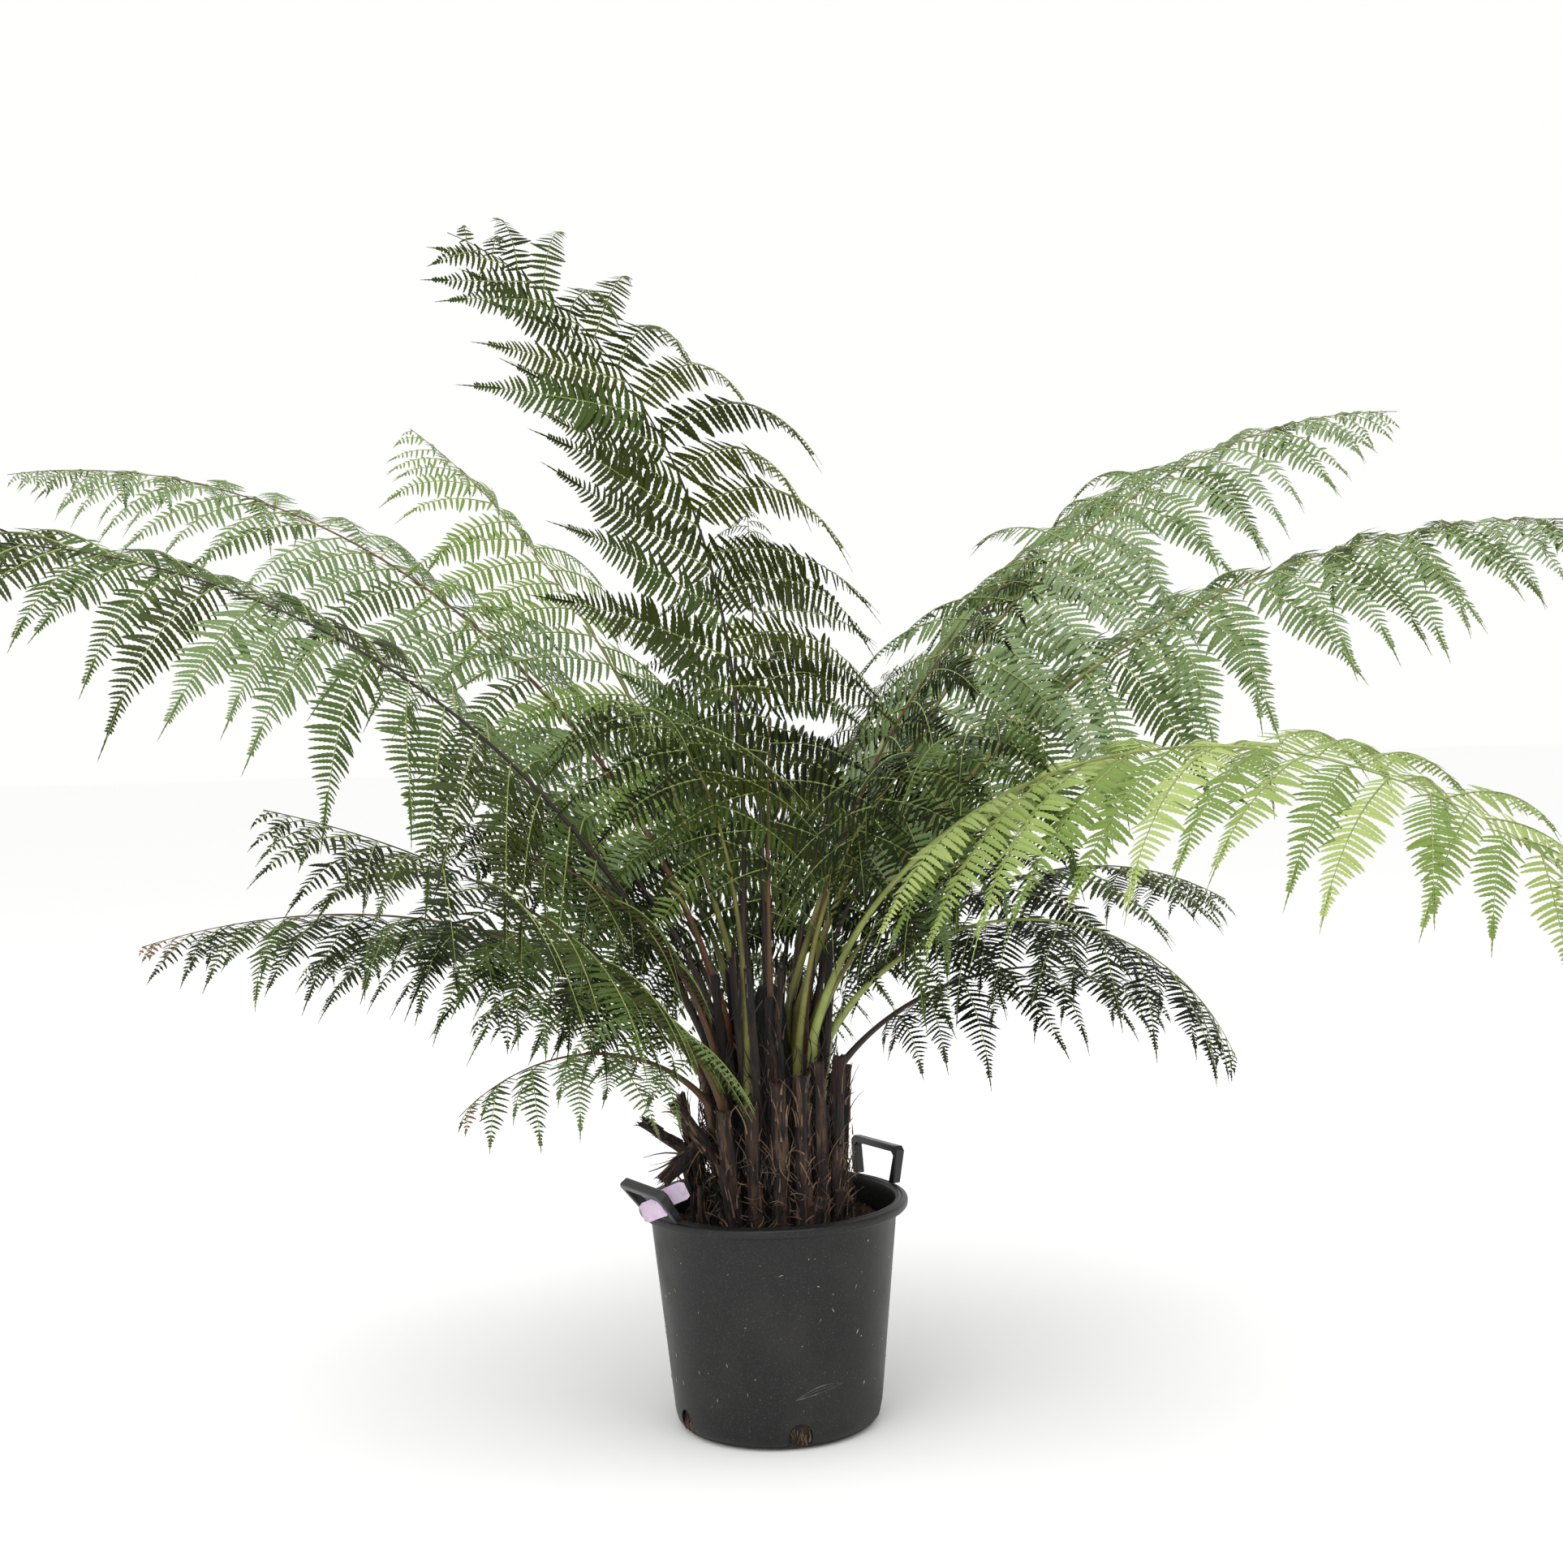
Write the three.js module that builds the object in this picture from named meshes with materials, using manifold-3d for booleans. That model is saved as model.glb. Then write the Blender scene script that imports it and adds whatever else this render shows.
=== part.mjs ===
// A young tree fern in a nursery pot: a round container with two grips, its potting soil,
// a short fibrous trunk ringed with cut leaf stubs, and a full rosette of arching fronds.
// Millimetres, +Z up, origin at the centre of the pot's flat underside, front towards -Y.
import * as THREE from "three";
import { mergeVertices } from "three/addons/utils/BufferGeometryUtils.js";
import Module from "manifold-3d";

const wasm = await Module();
wasm.setup();

// ---- driving dimensions ----
const GAP = 0.5; // clearance kept between neighbouring solids

const POT = {
  height: 340,
  wall: 4,
  sides: 28,
  footRadius: 155, // of the body, carried down to the ground
  topRadius: 186, // of the body under the rim
  rimRadius: 204,
  rimDepth: 18,
  soilTop: 304,
};
const DRAIN = { count: 5, width: 36, height: 42, bearing: -78 };

const GRIP = { width: 122, rise: 58, bar: 15, splay: 8, standRadius: 194 };
const RIGHT_GRIP = { bearing: 34, lean: 4 };
const LEFT_GRIP = { bearing: 213, lean: 35 };
const TAG = { length: 66, width: 34, thickness: 1.2, turn: 24, faces: 262, middle: [-155, -126, 366] };

// The trunk's outline, as heights above the ground and radii, from the soil to the crown.
const TRUNK = {
  sides: 16,
  levels: [
    { z: 304, radius: 112 },
    { z: 345, radius: 98 },
    { z: 400, radius: 91 },
    { z: 470, radius: 88 },
    { z: 530, radius: 84 },
    { z: 580, radius: 74 },
    { z: 625, radius: 56 },
    { z: 662, radius: 30 },
  ],
  lumps: 0.05, // how uneven the trunk is, as a share of its radius
};

// The cut leaf stubs round the trunk: bearing, lean from upright, height of the foot, length.
const STUB = { radius: 16, topRadius: 12.4, flatness: 0.8, sides: 8, ring: 102 };
const STUBS = [
  { toward: 338, lean: 1, foot: 308, length: 252 },
  { toward: 316, lean: 0, foot: 308, length: 248 },
  { toward: 296, lean: 0, foot: 308, length: 232 },
  { toward: 277, lean: 2, foot: 308, length: 224 },
  { toward: 258, lean: 6, foot: 308, length: 192 },
  { toward: 238, lean: 9, foot: 308, length: 188 },
  { toward: 218, lean: 34, foot: 405, length: 128 },
  { toward: 203, lean: 128, foot: 446, length: 98 },
  { toward: 188, lean: 54, foot: 398, length: 116 },
  { toward: 166, lean: 12, foot: 308, length: 190 },
  { toward: 140, lean: 6, foot: 308, length: 205 },
  { toward: 114, lean: 4, foot: 308, length: 180 },
  { toward: 88, lean: 8, foot: 308, length: 215 },
  { toward: 60, lean: 5, foot: 308, length: 185 },
  { toward: 34, lean: 9, foot: 308, length: 220 },
  { toward: 8, lean: 5, foot: 308, length: 190 },
];

// The fronds, seen ones first, because a later solid makes way for the ones before it.
// toward: the bearing, 0 to the right, 90 to the back, 180 to the left, 270 to the front
// out, foot: where the rib starts, from the trunk's axis and from the ground
// rise, fall, bend: the rib's slope at its foot and at its tip, and how late it turns over
// reach: the rib's length          spread: the longest side branch
// droop: how much the side branches hang
// split: where along the rib a long frond is divided, 0 for a short one left whole
const FROND = {
  bare: 0.16, // the leafless stalk's share of the rib
  widest: 0.4, // where along the blade the side branches are longest
  roll: 0, // the blade's turn about its rib at the foot
  twist: 0, // and what is added to that by the tip
  split: 0,
};
const FRONDS = [
  {
    name: "tall", toward: 188, out: 40, foot: 620, rise: 93, fall: 23, bend: 2.15, reach: 1320,
    spread: 360, droop: 30, bare: 0.14, widest: 0.5, roll: 60, twist: -26, split: 0.58,
  },
  {
    name: "left_front", toward: 198, out: 88, foot: 560, rise: 67, fall: -14, bend: 1.2,
    reach: 1620, spread: 375, droop: 44, roll: -26, split: 0.5,
  },
  {
    name: "right_front", toward: 325, out: 80, foot: 580, rise: 75, fall: -52, bend: 0.85,
    reach: 1540, spread: 360, droop: 40, bare: 0.22, widest: 0.36, roll: 14, split: 0.52,
  },
  {
    name: "right_mid", toward: 6, out: 68, foot: 600, rise: 67, fall: -9, bend: 0.95,
    reach: 1660, spread: 345, droop: 56, widest: 0.36, roll: 20, split: 0.5,
  },
  {
    name: "right_upper", toward: 26, out: 50, foot: 620, rise: 68, fall: 1, bend: 1.25,
    reach: 1620, spread: 330, droop: 54, widest: 0.36, roll: 18, split: 0.52,
  },
  {
    name: "left_back", toward: 156, out: 70, foot: 600, rise: 76, fall: -2, bend: 0.85,
    reach: 1800, spread: 300, droop: 58, widest: 0.38, roll: -14, split: 0.48,
  },
  {
    name: "back_left", toward: 139, out: 48, foot: 620, rise: 74, fall: 30, bend: 1, reach: 1250,
    spread: 310, droop: 40, split: 0.55,
  },
  {
    name: "right_back", toward: 50, out: 48, foot: 620, rise: 66, fall: 12, bend: 0.95,
    reach: 1480, spread: 280, droop: 60, widest: 0.38, roll: -10, split: 0.5,
  },
  {
    name: "left_low", toward: 222, out: 92, foot: 520, rise: 54, fall: 14, bend: 0.8, reach: 880,
    spread: 320, droop: 45, bare: 0.18, split: 0.55,
  },
  {
    name: "left_lowest", toward: 186, out: 98, foot: 520, rise: 70, fall: -16, bend: 0.6,
    reach: 920, spread: 270, droop: 45, bare: 0.22, split: 0.5,
  },
  {
    name: "right_low", toward: 352, out: 90, foot: 580, rise: 60, fall: -70, bend: 1.05,
    reach: 760, spread: 250, droop: 50, bare: 0.3, widest: 0.45, split: 0.5,
  },
  {
    name: "front_right", toward: 312, out: 64, foot: 560, rise: 80, fall: 0, bend: 1.4,
    reach: 750, spread: 250, droop: 40, bare: 0.4, widest: 0.45,
  },
  {
    name: "front_left", toward: 246, out: 78, foot: 560, rise: 90, fall: -10, bend: 1.6,
    reach: 780, spread: 250, droop: 40, bare: 0.42, widest: 0.45,
  },
  {
    name: "snapped", toward: 232, out: 108, foot: 480, rise: 68, fall: 12, bend: 1, reach: 370,
    spread: 200, droop: 50, bare: 0.3,
  },
  {
    name: "inner_left", toward: 212, out: 86, foot: 530, rise: 80, fall: 0, bend: 1, reach: 640,
    spread: 220, droop: 40, bare: 0.3,
  },
  {
    name: "back_upright", toward: 92, out: 50, foot: 600, rise: 84, fall: 28, bend: 1,
    reach: 1050, spread: 300, droop: 45, split: 0.55,
  },
  {
    name: "back_right", toward: 74, out: 80, foot: 560, rise: 62, fall: -15, bend: 1,
    reach: 1200, spread: 300, droop: 50, split: 0.52,
  },
  {
    name: "back_wide", toward: 120, out: 80, foot: 570, rise: 64, fall: -16, bend: 1,
    reach: 1200, spread: 300, droop: 50, split: 0.52,
  },
  {
    name: "back_corner", toward: 38, out: 94, foot: 540, rise: 54, fall: -25, bend: 0.8,
    reach: 1040, spread: 280, droop: 50, bare: 0.2, split: 0.52,
  },
  {
    name: "side_left", toward: 150, out: 96, foot: 520, rise: 52, fall: -25, bend: 0.8,
    reach: 900, spread: 270, droop: 50, bare: 0.2,
  },
  {
    name: "back_low", toward: 96, out: 98, foot: 510, rise: 44, fall: -35, bend: 0.8, reach: 900,
    spread: 270, droop: 50, bare: 0.22,
  },
  {
    name: "side_right", toward: 18, out: 98, foot: 510, rise: 56, fall: -30, bend: 0.8,
    reach: 640, spread: 230, droop: 50, bare: 0.22,
  },
].map((frond) => ({ ...FROND, ...frond }));
const STALK = { radius: 7.5, taper: 0.8, root: 80 }; // root: how far it is carried into the trunk
const BLADE = {
  thickness: 2, // half way out
  edge: 0.8,
  openedAt: 60, // length of the side branches where the stalk has become a thin blade
  sweep: 6, // how far the side branches point forwards, and what the last ones add, in degrees
  sweepMore: 46,
  lift: -5, // how far they rise out of the blade where they leave the rib
  sections: [0, 0.08, 0.27, 0.48, 0.7, 0.9], // where it is cut across, shares of the blade
  closest: 0.01, // between two sections, as a share of the rib
  ribSteps: 120,
  branchSteps: 8,
};

// ---- materials ----
const paint = (colour, roughness) =>
  new THREE.MeshStandardMaterial({ color: colour, roughness, metalness: 0 });
const PAINT = {
  pot: () => paint(0x232527, 0.62),
  tag: () => paint(0xe6d3ea, 0.5),
  soil: () => paint(0x241a14, 0.95),
  trunk: () => paint(0x2b1a12, 0.9),
  stub: () => paint(0x4a2c1e, 0.85),
  frond: () => paint(0x55713f, 0.6),
};

// ---- small helpers ----
const rad = THREE.MathUtils.degToRad;
const lerp = THREE.MathUtils.lerp;
const upward = new THREE.Vector3(0, 0, 1);
const along = (start, way, distance) => start.clone().addScaledVector(way, distance);
const bearingVector = (bearing) =>
  new THREE.Vector3(Math.cos(rad(bearing)), Math.sin(rad(bearing)), 0);

// A direction that leans from upright towards a bearing, and one turned from one way to another.
const between = (from, to, angle) =>
  from.clone().multiplyScalar(Math.cos(rad(angle))).addScaledVector(to, Math.sin(rad(angle)));
const leaning = (bearing, lean) => between(upward, bearingVector(bearing), lean);

// A closed geometry as a solid with its faces outwards.
function toSolid(geometry) {
  const bare = new THREE.BufferGeometry();
  bare.setAttribute("position", geometry.getAttribute("position"));
  if (geometry.index) bare.setIndex(geometry.index);
  const merged = mergeVertices(bare, 1e-3);
  const corners = Uint32Array.from(merged.index.array);
  const build = () =>
    new wasm.Manifold(
      new wasm.Mesh({
        numProp: 3,
        vertProperties: Float32Array.from(merged.attributes.position.array),
        triVerts: corners,
      }),
    );
  const solid = build();
  if (solid.volume() > 0) return solid;
  for (let i = 0; i < corners.length; i += 3) {
    const second = corners[i + 1];
    corners[i + 1] = corners[i + 2];
    corners[i + 2] = second;
  }
  return build();
}

// A skin over a row of rings of points, closed at both ends. A ring has an even number of points,
// and the ends are closed across it, from each point to its partner on the other side.
function loft(rings) {
  const count = rings[0].length;
  const faces = [];
  for (let i = 0; i + 1 < rings.length; i++)
    for (let j = 0; j < count; j++) {
      const a = i * count + j;
      const b = i * count + ((j + 1) % count);
      // the underside is split along the same diagonals as the upper side, so they never cross
      if (j < count / 2) faces.push(a, b, b + count, a, b + count, a + count);
      else faces.push(a, b, a + count, b, b + count, a + count);
    }
  const last = (rings.length - 1) * count;
  for (let j = 0; j < count / 2; j++) {
    const partner = (count - j) % count;
    const nextPartner = count - j - 1;
    if (nextPartner !== j + 1) {
      faces.push(j, nextPartner, j + 1);
      faces.push(last + j, last + j + 1, last + nextPartner);
    }
    if (partner !== j) {
      faces.push(j, partner, nextPartner);
      faces.push(last + j, last + nextPartner, last + partner);
    }
  }
  const corners = rings.flat().flatMap((point) => point.toArray());
  const geometry = new THREE.BufferGeometry();
  geometry.setAttribute("position", new THREE.Float32BufferAttribute(corners, 3));
  geometry.setIndex(faces);
  return toSolid(geometry);
}

function turned(profile) {
  const points = profile.map(([radius, z]) => new THREE.Vector2(radius, z));
  const geometry = new THREE.LatheGeometry(points, POT.sides);
  geometry.rotateX(Math.PI / 2);
  return toSolid(geometry);
}

// ---- the pot and what is on it ----
const bodyRadius = (z) => lerp(POT.footRadius, POT.topRadius, z / (POT.height - POT.rimDepth));

function potSolid() {
  const rimFoot = POT.height - POT.rimDepth;
  const floor = POT.wall + 2;
  let pot = turned([
    [0, 0],
    [POT.footRadius - 20, 0],
    [POT.footRadius - 8, 4],
    [bodyRadius(14) - 2, 12],
    [bodyRadius(26), 26],
    [bodyRadius(rimFoot), rimFoot],
    [POT.rimRadius - 4, rimFoot + 2],
    [POT.rimRadius, rimFoot + 6],
    [POT.rimRadius, POT.height - 7],
    [POT.rimRadius - 5, POT.height],
    [POT.rimRadius - 14, POT.height],
    [POT.topRadius - 1, POT.height - 7],
    [bodyRadius(rimFoot) - POT.wall, rimFoot],
    [bodyRadius(26) - POT.wall, 26],
    [POT.footRadius - 16, floor],
    [0, floor],
  ]);
  for (let i = 0; i < DRAIN.count; i++) {
    const hole = new THREE.BoxGeometry(34, DRAIN.width, 2 * DRAIN.height);
    hole.translate(POT.footRadius + 4, 0, 0);
    hole.rotateZ(rad(DRAIN.bearing + (360 / DRAIN.count) * i));
    pot = pot.subtract(toSolid(hole));
  }
  return pot;
}

function soilSolid() {
  const reach = (z) => bodyRadius(z) - POT.wall - GAP;
  const floor = POT.wall + 2 + GAP;
  const top = POT.soilTop - GAP;
  return turned([
    [0, floor],
    [POT.footRadius - 19, floor],
    [reach(28) - 1, 28],
    [reach(top - 8), top - 8],
    [reach(top) - 24, top],
    [0, top],
  ]);
}

// Puts a flat outline drawn in the plane of a grip (x along the rim, y up) where that grip stands.
function standOnRim(geometry, { bearing, lean }) {
  const side = bearingVector(bearing + 90);
  const up = leaning(bearing, lean);
  const normal = side.clone().cross(up);
  const foot = bearingVector(bearing).multiplyScalar(GRIP.standRadius).setZ(POT.height);
  const place = new THREE.Matrix4().makeBasis(side, up, normal).setPosition(foot);
  const clearOfRim = new THREE.BoxGeometry(3 * POT.rimRadius, 3 * POT.rimRadius, POT.height);
  clearOfRim.translate(0, 0, POT.height / 2 + GAP);
  return toSolid(geometry.applyMatrix4(place)).subtract(toSolid(clearOfRim));
}

function gripSolid(grip) {
  const half = GRIP.width / 2;
  const below = -12; // the legs are drawn long and cut flat where they meet the rim
  const outline = new THREE.Shape();
  outline.moveTo(-half, below);
  outline.lineTo(-half + GRIP.splay, GRIP.rise - 4);
  outline.lineTo(-half + GRIP.splay + 4, GRIP.rise);
  outline.lineTo(half - GRIP.splay - 4, GRIP.rise);
  outline.lineTo(half - GRIP.splay, GRIP.rise - 4);
  outline.lineTo(half, below);
  outline.lineTo(half - GRIP.bar, below);
  outline.lineTo(half - GRIP.bar - GRIP.splay, GRIP.rise - GRIP.bar);
  outline.lineTo(-half + GRIP.bar + GRIP.splay, GRIP.rise - GRIP.bar);
  outline.lineTo(-half + GRIP.bar, below);
  const bar = new THREE.ExtrudeGeometry(outline, { depth: GRIP.bar, bevelEnabled: false });
  bar.translate(0, 0, -GRIP.bar / 2);
  return standOnRim(bar, grip);
}

// A blank card hung on the inner side of the left grip.
function tagSolid() {
  const card = new THREE.BoxGeometry(TAG.length, TAG.width, TAG.thickness);
  card.rotateZ(rad(TAG.turn));
  const place = new THREE.Matrix4().makeBasis(
    bearingVector(TAG.faces + 90),
    upward,
    bearingVector(TAG.faces),
  );
  place.setPosition(...TAG.middle);
  return toSolid(card.applyMatrix4(place));
}

// ---- the trunk and its stubs ----
// skin is added all over, for a solid that stands for another one and the clearance round it.
function trunkSolid(skin) {
  const rings = TRUNK.levels.map(({ z, radius }, level) =>
    Array.from({ length: TRUNK.sides }, (_, j) => {
      const turn = (2 * Math.PI * j) / TRUNK.sides;
      const wave = Math.sin(5 * turn + level) + 0.6 * Math.sin(3 * turn - 2 * level);
      const uneven = radius * (1 + TRUNK.lumps * wave) + skin;
      const top = level === TRUNK.levels.length - 1 ? skin : 0;
      return bearingVector((360 * j) / TRUNK.sides).multiplyScalar(uneven).setZ(z + top);
    }),
  );
  return loft(rings);
}

function stubSolid({ toward, lean, foot, length }, skin) {
  const side = bearingVector(toward + 90);
  const way = leaning(toward, lean);
  const out = side.clone().cross(way);
  const start = bearingVector(toward).multiplyScalar(STUB.ring).setZ(foot);
  const rings = [0, 0.5, 1].map((share) => {
    const radius = lerp(STUB.radius, STUB.topRadius, share) + skin;
    const middle = along(start, way, share * length + (2 * share - 1) * skin);
    return Array.from({ length: STUB.sides }, (_, j) => {
      const turn = (2 * Math.PI * j) / STUB.sides;
      const sideways = along(middle, side, radius * Math.cos(turn));
      return along(sideways, out, STUB.flatness * radius * Math.sin(turn));
    });
  });
  return loft(rings);
}

// ---- the fronds ----
// The rib's place and directions at a share t of its length: forwards along the rib, sideways
// across the blade, and out of the blade's upper face.
function ribFrame(frond, t) {
  const slope = (share) => lerp(frond.rise, frond.fall, Math.pow(Math.max(share, 0), frond.bend));
  const forwards = (share) => leaning(frond.toward, 90 - slope(share));
  const place = bearingVector(frond.toward).multiplyScalar(frond.out).setZ(frond.foot);
  const steps = Math.round(BLADE.ribSteps * Math.max(t, 0));
  for (let i = 0; i < steps; i++)
    place.addScaledVector(forwards((t * (i + 0.5)) / steps), (frond.reach * t) / steps);
  const ahead = forwards(t);
  if (t < 0) place.addScaledVector(ahead, frond.reach * t);
  const flat = bearingVector(frond.toward + 90);
  const side = between(flat, ahead.clone().cross(flat), frond.roll + frond.twist * t);
  return { place, ahead, side, out: ahead.clone().cross(side) };
}

// The longest side branch's share of its length that one at a share s of the blade has.
function branchShare(frond, s) {
  const turn = Math.PI * Math.pow(s, Math.log(0.5) / Math.log(frond.widest));
  return Math.pow(Math.max(0, Math.sin(turn)), 0.65) * (1 - 0.12 * s);
}

// The middle and the tip of the drooping side branch at a share s of the blade, from the rib,
// and the way out of the blade's upper face at its middle. hand is 1 to the left, -1 to the right.
function branchPath(frond, frame, hand, s) {
  const length = frond.spread * branchShare(frond, s);
  const sideways = frame.side.clone().multiplyScalar(hand);
  const swept = between(sideways, frame.ahead, BLADE.sweep + BLADE.sweepMore * s * s);
  const start = between(swept, frame.out, BLADE.lift);
  const point = new THREE.Vector3();
  const path = {};
  for (let i = 0; i < BLADE.branchSteps; i++) {
    const share = (i + 0.5) / BLADE.branchSteps;
    const weight = 1.6 * Math.sin(rad(frond.droop)) * Math.pow(share, 1.3);
    const way = along(start, upward, -weight).normalize();
    point.addScaledVector(way, length / BLADE.branchSteps);
    if (i === BLADE.branchSteps / 2 - 1) {
      path.middle = point.clone();
      path.out = frame.ahead.clone().cross(way).multiplyScalar(hand).normalize();
    }
  }
  path.tip = point;
  return path;
}

// The ten corners of the frond's section: over the top from its left edge to its right one, and
// back underneath. On the bare stalk that is a round bar, and it opens into the blade from there.
function frondRing(frond, t, skin, shift) {
  const frame = ribFrame(frond, t);
  frame.place.addScaledVector(frame.ahead, shift);
  const radius = STALK.radius * (1 - STALK.taper * Math.max(0, t)) + skin;
  const s = THREE.MathUtils.clamp((t - frond.bare) / (1 - frond.bare), 0, 1);
  const opened = Math.min(1, (frond.spread * branchShare(frond, s)) / BLADE.openedAt);
  const half = lerp(radius, (radius + skin) / 2, opened);
  const [left, right] = [1, -1].map((hand) => {
    const path = branchPath(frond, frame, hand, s);
    const from = (share) => along(frame.place, frame.side, hand * share * radius);
    const thick = (bar, blade) => lerp(bar * radius, blade / 2 + skin, opened);
    const middle = from(0.75).add(path.middle);
    const edge = from(0.95).add(path.tip);
    edge.addScaledVector(edge.clone().sub(middle).normalize(), skin);
    return [
      along(edge, path.out, thick(0.3, BLADE.edge)),
      along(middle, path.out, thick(0.7, BLADE.thickness)),
      along(middle, path.out, -thick(0.7, BLADE.thickness)),
      along(edge, path.out, -thick(0.3, BLADE.edge)),
    ];
  });
  const ridge = along(frame.place, frame.out, half);
  const keel = along(frame.place, frame.out, -half);
  return [left[0], left[1], ridge, right[1], right[0], right[3], right[2], keel, left[2], left[3]];
}

function frondSolid(frond, from, to, skin) {
  const sections = [0, ...BLADE.sections.map((s) => lerp(frond.bare, 1, s))];
  const inside = sections.filter((t) => t > from + BLADE.closest && t < to - BLADE.closest);
  const stations = [from, ...inside, to];
  const rings = stations.map((t, i) => {
    const shift = i === 0 ? -skin : i === stations.length - 1 ? skin : 0;
    return frondRing(frond, t, skin, shift);
  });
  return loft(rings);
}


// ---- put together ----
const group = new THREE.Group();
const placed = []; // what is there already: it with the clearance round it, and the box of that

function addMesh(name, solid, material) {
  const mesh = solid.getMesh();
  const corners = Float32Array.from(mesh.vertProperties);
  const geometry = new THREE.BufferGeometry();
  geometry.setAttribute("position", new THREE.BufferAttribute(corners, 3));
  geometry.setIndex(new THREE.BufferAttribute(Uint32Array.from(mesh.triVerts), 1));
  geometry.computeVertexNormals();
  const node = new THREE.Mesh(geometry, material);
  node.name = name;
  group.add(node);
}

const boxesMeet = (a, b) => [0, 1, 2].every((k) => a.min[k] < b.max[k] && b.min[k] < a.max[k]);

// Adds a solid, less whatever is in its way, and only the largest piece where it is cut through.
function addTrimmed(name, make, material) {
  let solid = make(0);
  const box = solid.boundingBox();
  for (const other of placed) if (boxesMeet(box, other.box)) solid = solid.subtract(other.solid);
  const pieces = solid.decompose().sort((a, b) => b.volume() - a.volume());
  addMesh(name, pieces[0], material);
  const clearance = make(GAP).add(pieces[0]);
  placed.push({ solid: clearance, box: clearance.boundingBox() });
}

addMesh("pot", potSolid(), PAINT.pot());
addMesh("soil", soilSolid(), PAINT.soil());
addMesh("grip_right", gripSolid(RIGHT_GRIP), PAINT.pot());
addMesh("grip_left", gripSolid(LEFT_GRIP), PAINT.pot());
addMesh("tag", tagSolid(), PAINT.tag());
addTrimmed("trunk", trunkSolid, PAINT.trunk());
STUBS.forEach((stub, i) => {
  const number = String(i + 1).padStart(2, "0");
  addTrimmed(`stub_${number}`, (skin) => stubSolid(stub, skin), PAINT.stub());
});
for (const frond of FRONDS) {
  const root = -STALK.root / frond.reach;
  const cuts = frond.split ? [root, frond.split, 1] : [root, 1];
  const names = frond.split ? ["_lower", "_upper"] : [""];
  names.forEach((part, i) => {
    const seam = GAP / frond.reach;
    const from = i === 0 ? cuts[i] : cuts[i] + seam;
    const to = i === names.length - 1 ? cuts[i + 1] : cuts[i + 1] - seam;
    const make = (skin) => frondSolid(frond, from, to, skin);
    addTrimmed(`frond_${frond.name}${part}`, make, PAINT.frond());
  });
}

export default group;
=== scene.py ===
"""A potted tree fern: black nursery pot, soil, stubby trunk and a crown of arching fronds."""

import logging
import math
from dataclasses import dataclass, field
from enum import IntEnum
from typing import Any, Optional, Sequence, Union

import bmesh
import bpy
import numpy as np
from mathutils import Matrix, Vector, noise

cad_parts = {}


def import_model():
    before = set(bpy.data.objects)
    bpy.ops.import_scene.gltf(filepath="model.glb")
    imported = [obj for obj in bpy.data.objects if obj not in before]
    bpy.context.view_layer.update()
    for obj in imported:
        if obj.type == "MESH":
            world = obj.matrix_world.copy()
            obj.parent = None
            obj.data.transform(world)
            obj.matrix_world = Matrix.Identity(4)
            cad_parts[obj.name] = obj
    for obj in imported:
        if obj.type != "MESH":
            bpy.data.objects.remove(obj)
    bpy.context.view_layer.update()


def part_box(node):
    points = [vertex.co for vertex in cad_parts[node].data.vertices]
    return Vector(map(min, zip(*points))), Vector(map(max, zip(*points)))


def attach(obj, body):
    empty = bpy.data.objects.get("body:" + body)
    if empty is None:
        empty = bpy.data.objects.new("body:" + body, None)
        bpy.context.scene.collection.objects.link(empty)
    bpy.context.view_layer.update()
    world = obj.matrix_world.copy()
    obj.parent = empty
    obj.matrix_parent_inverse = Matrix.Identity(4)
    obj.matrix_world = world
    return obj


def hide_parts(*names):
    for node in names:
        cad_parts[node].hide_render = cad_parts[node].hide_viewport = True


log = logging.getLogger("tree_fern")

Colour = tuple[float, float, float]
UP = np.array([0.0, 0.0, 1.0])
SAME_NUMBER = 0.1  # stored numbers this close are the same
ABOUT_A_TURN = 6.28  # radians


def lerp(start: Any, end: Any, share: Any) -> Any:
    """A value that share of the way from start to end."""
    return start + (end - start) * share


def smooth(low: float, high: float, value: Any) -> Any:
    """A smooth step from 0 at low to 1 at high."""
    share = np.clip((value - low) / (high - low), 0.0, 1.0)
    return share * share * (3.0 - 2.0 * share)


def unit(vectors: np.ndarray) -> np.ndarray:
    """The same vectors, each one long."""
    return vectors / np.linalg.norm(vectors, axis=-1, keepdims=True)


def bearing(degrees: float) -> np.ndarray:
    """The level direction at a compass bearing, 0 along +X and 90 along +Y."""
    turn = math.radians(degrees)
    return np.array([math.cos(turn), math.sin(turn), 0.0])


def leaning(degrees: float, lean: float) -> np.ndarray:
    """Straight up, tipped by lean degrees towards a bearing."""
    tip = math.radians(lean)
    return bearing(degrees) * math.sin(tip) + UP * math.cos(tip)


def tint(red: int, green: int, blue: int) -> Colour:
    """A colour named by its 0 to 255 screen values, as the shader's linear numbers."""

    def linear(value: int) -> float:
        """One channel."""
        share = value / 255
        return share / 12.92 if share <= 0.04045 else ((share + 0.055) / 1.055) ** 2.4

    return linear(red), linear(green), linear(blue)


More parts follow.
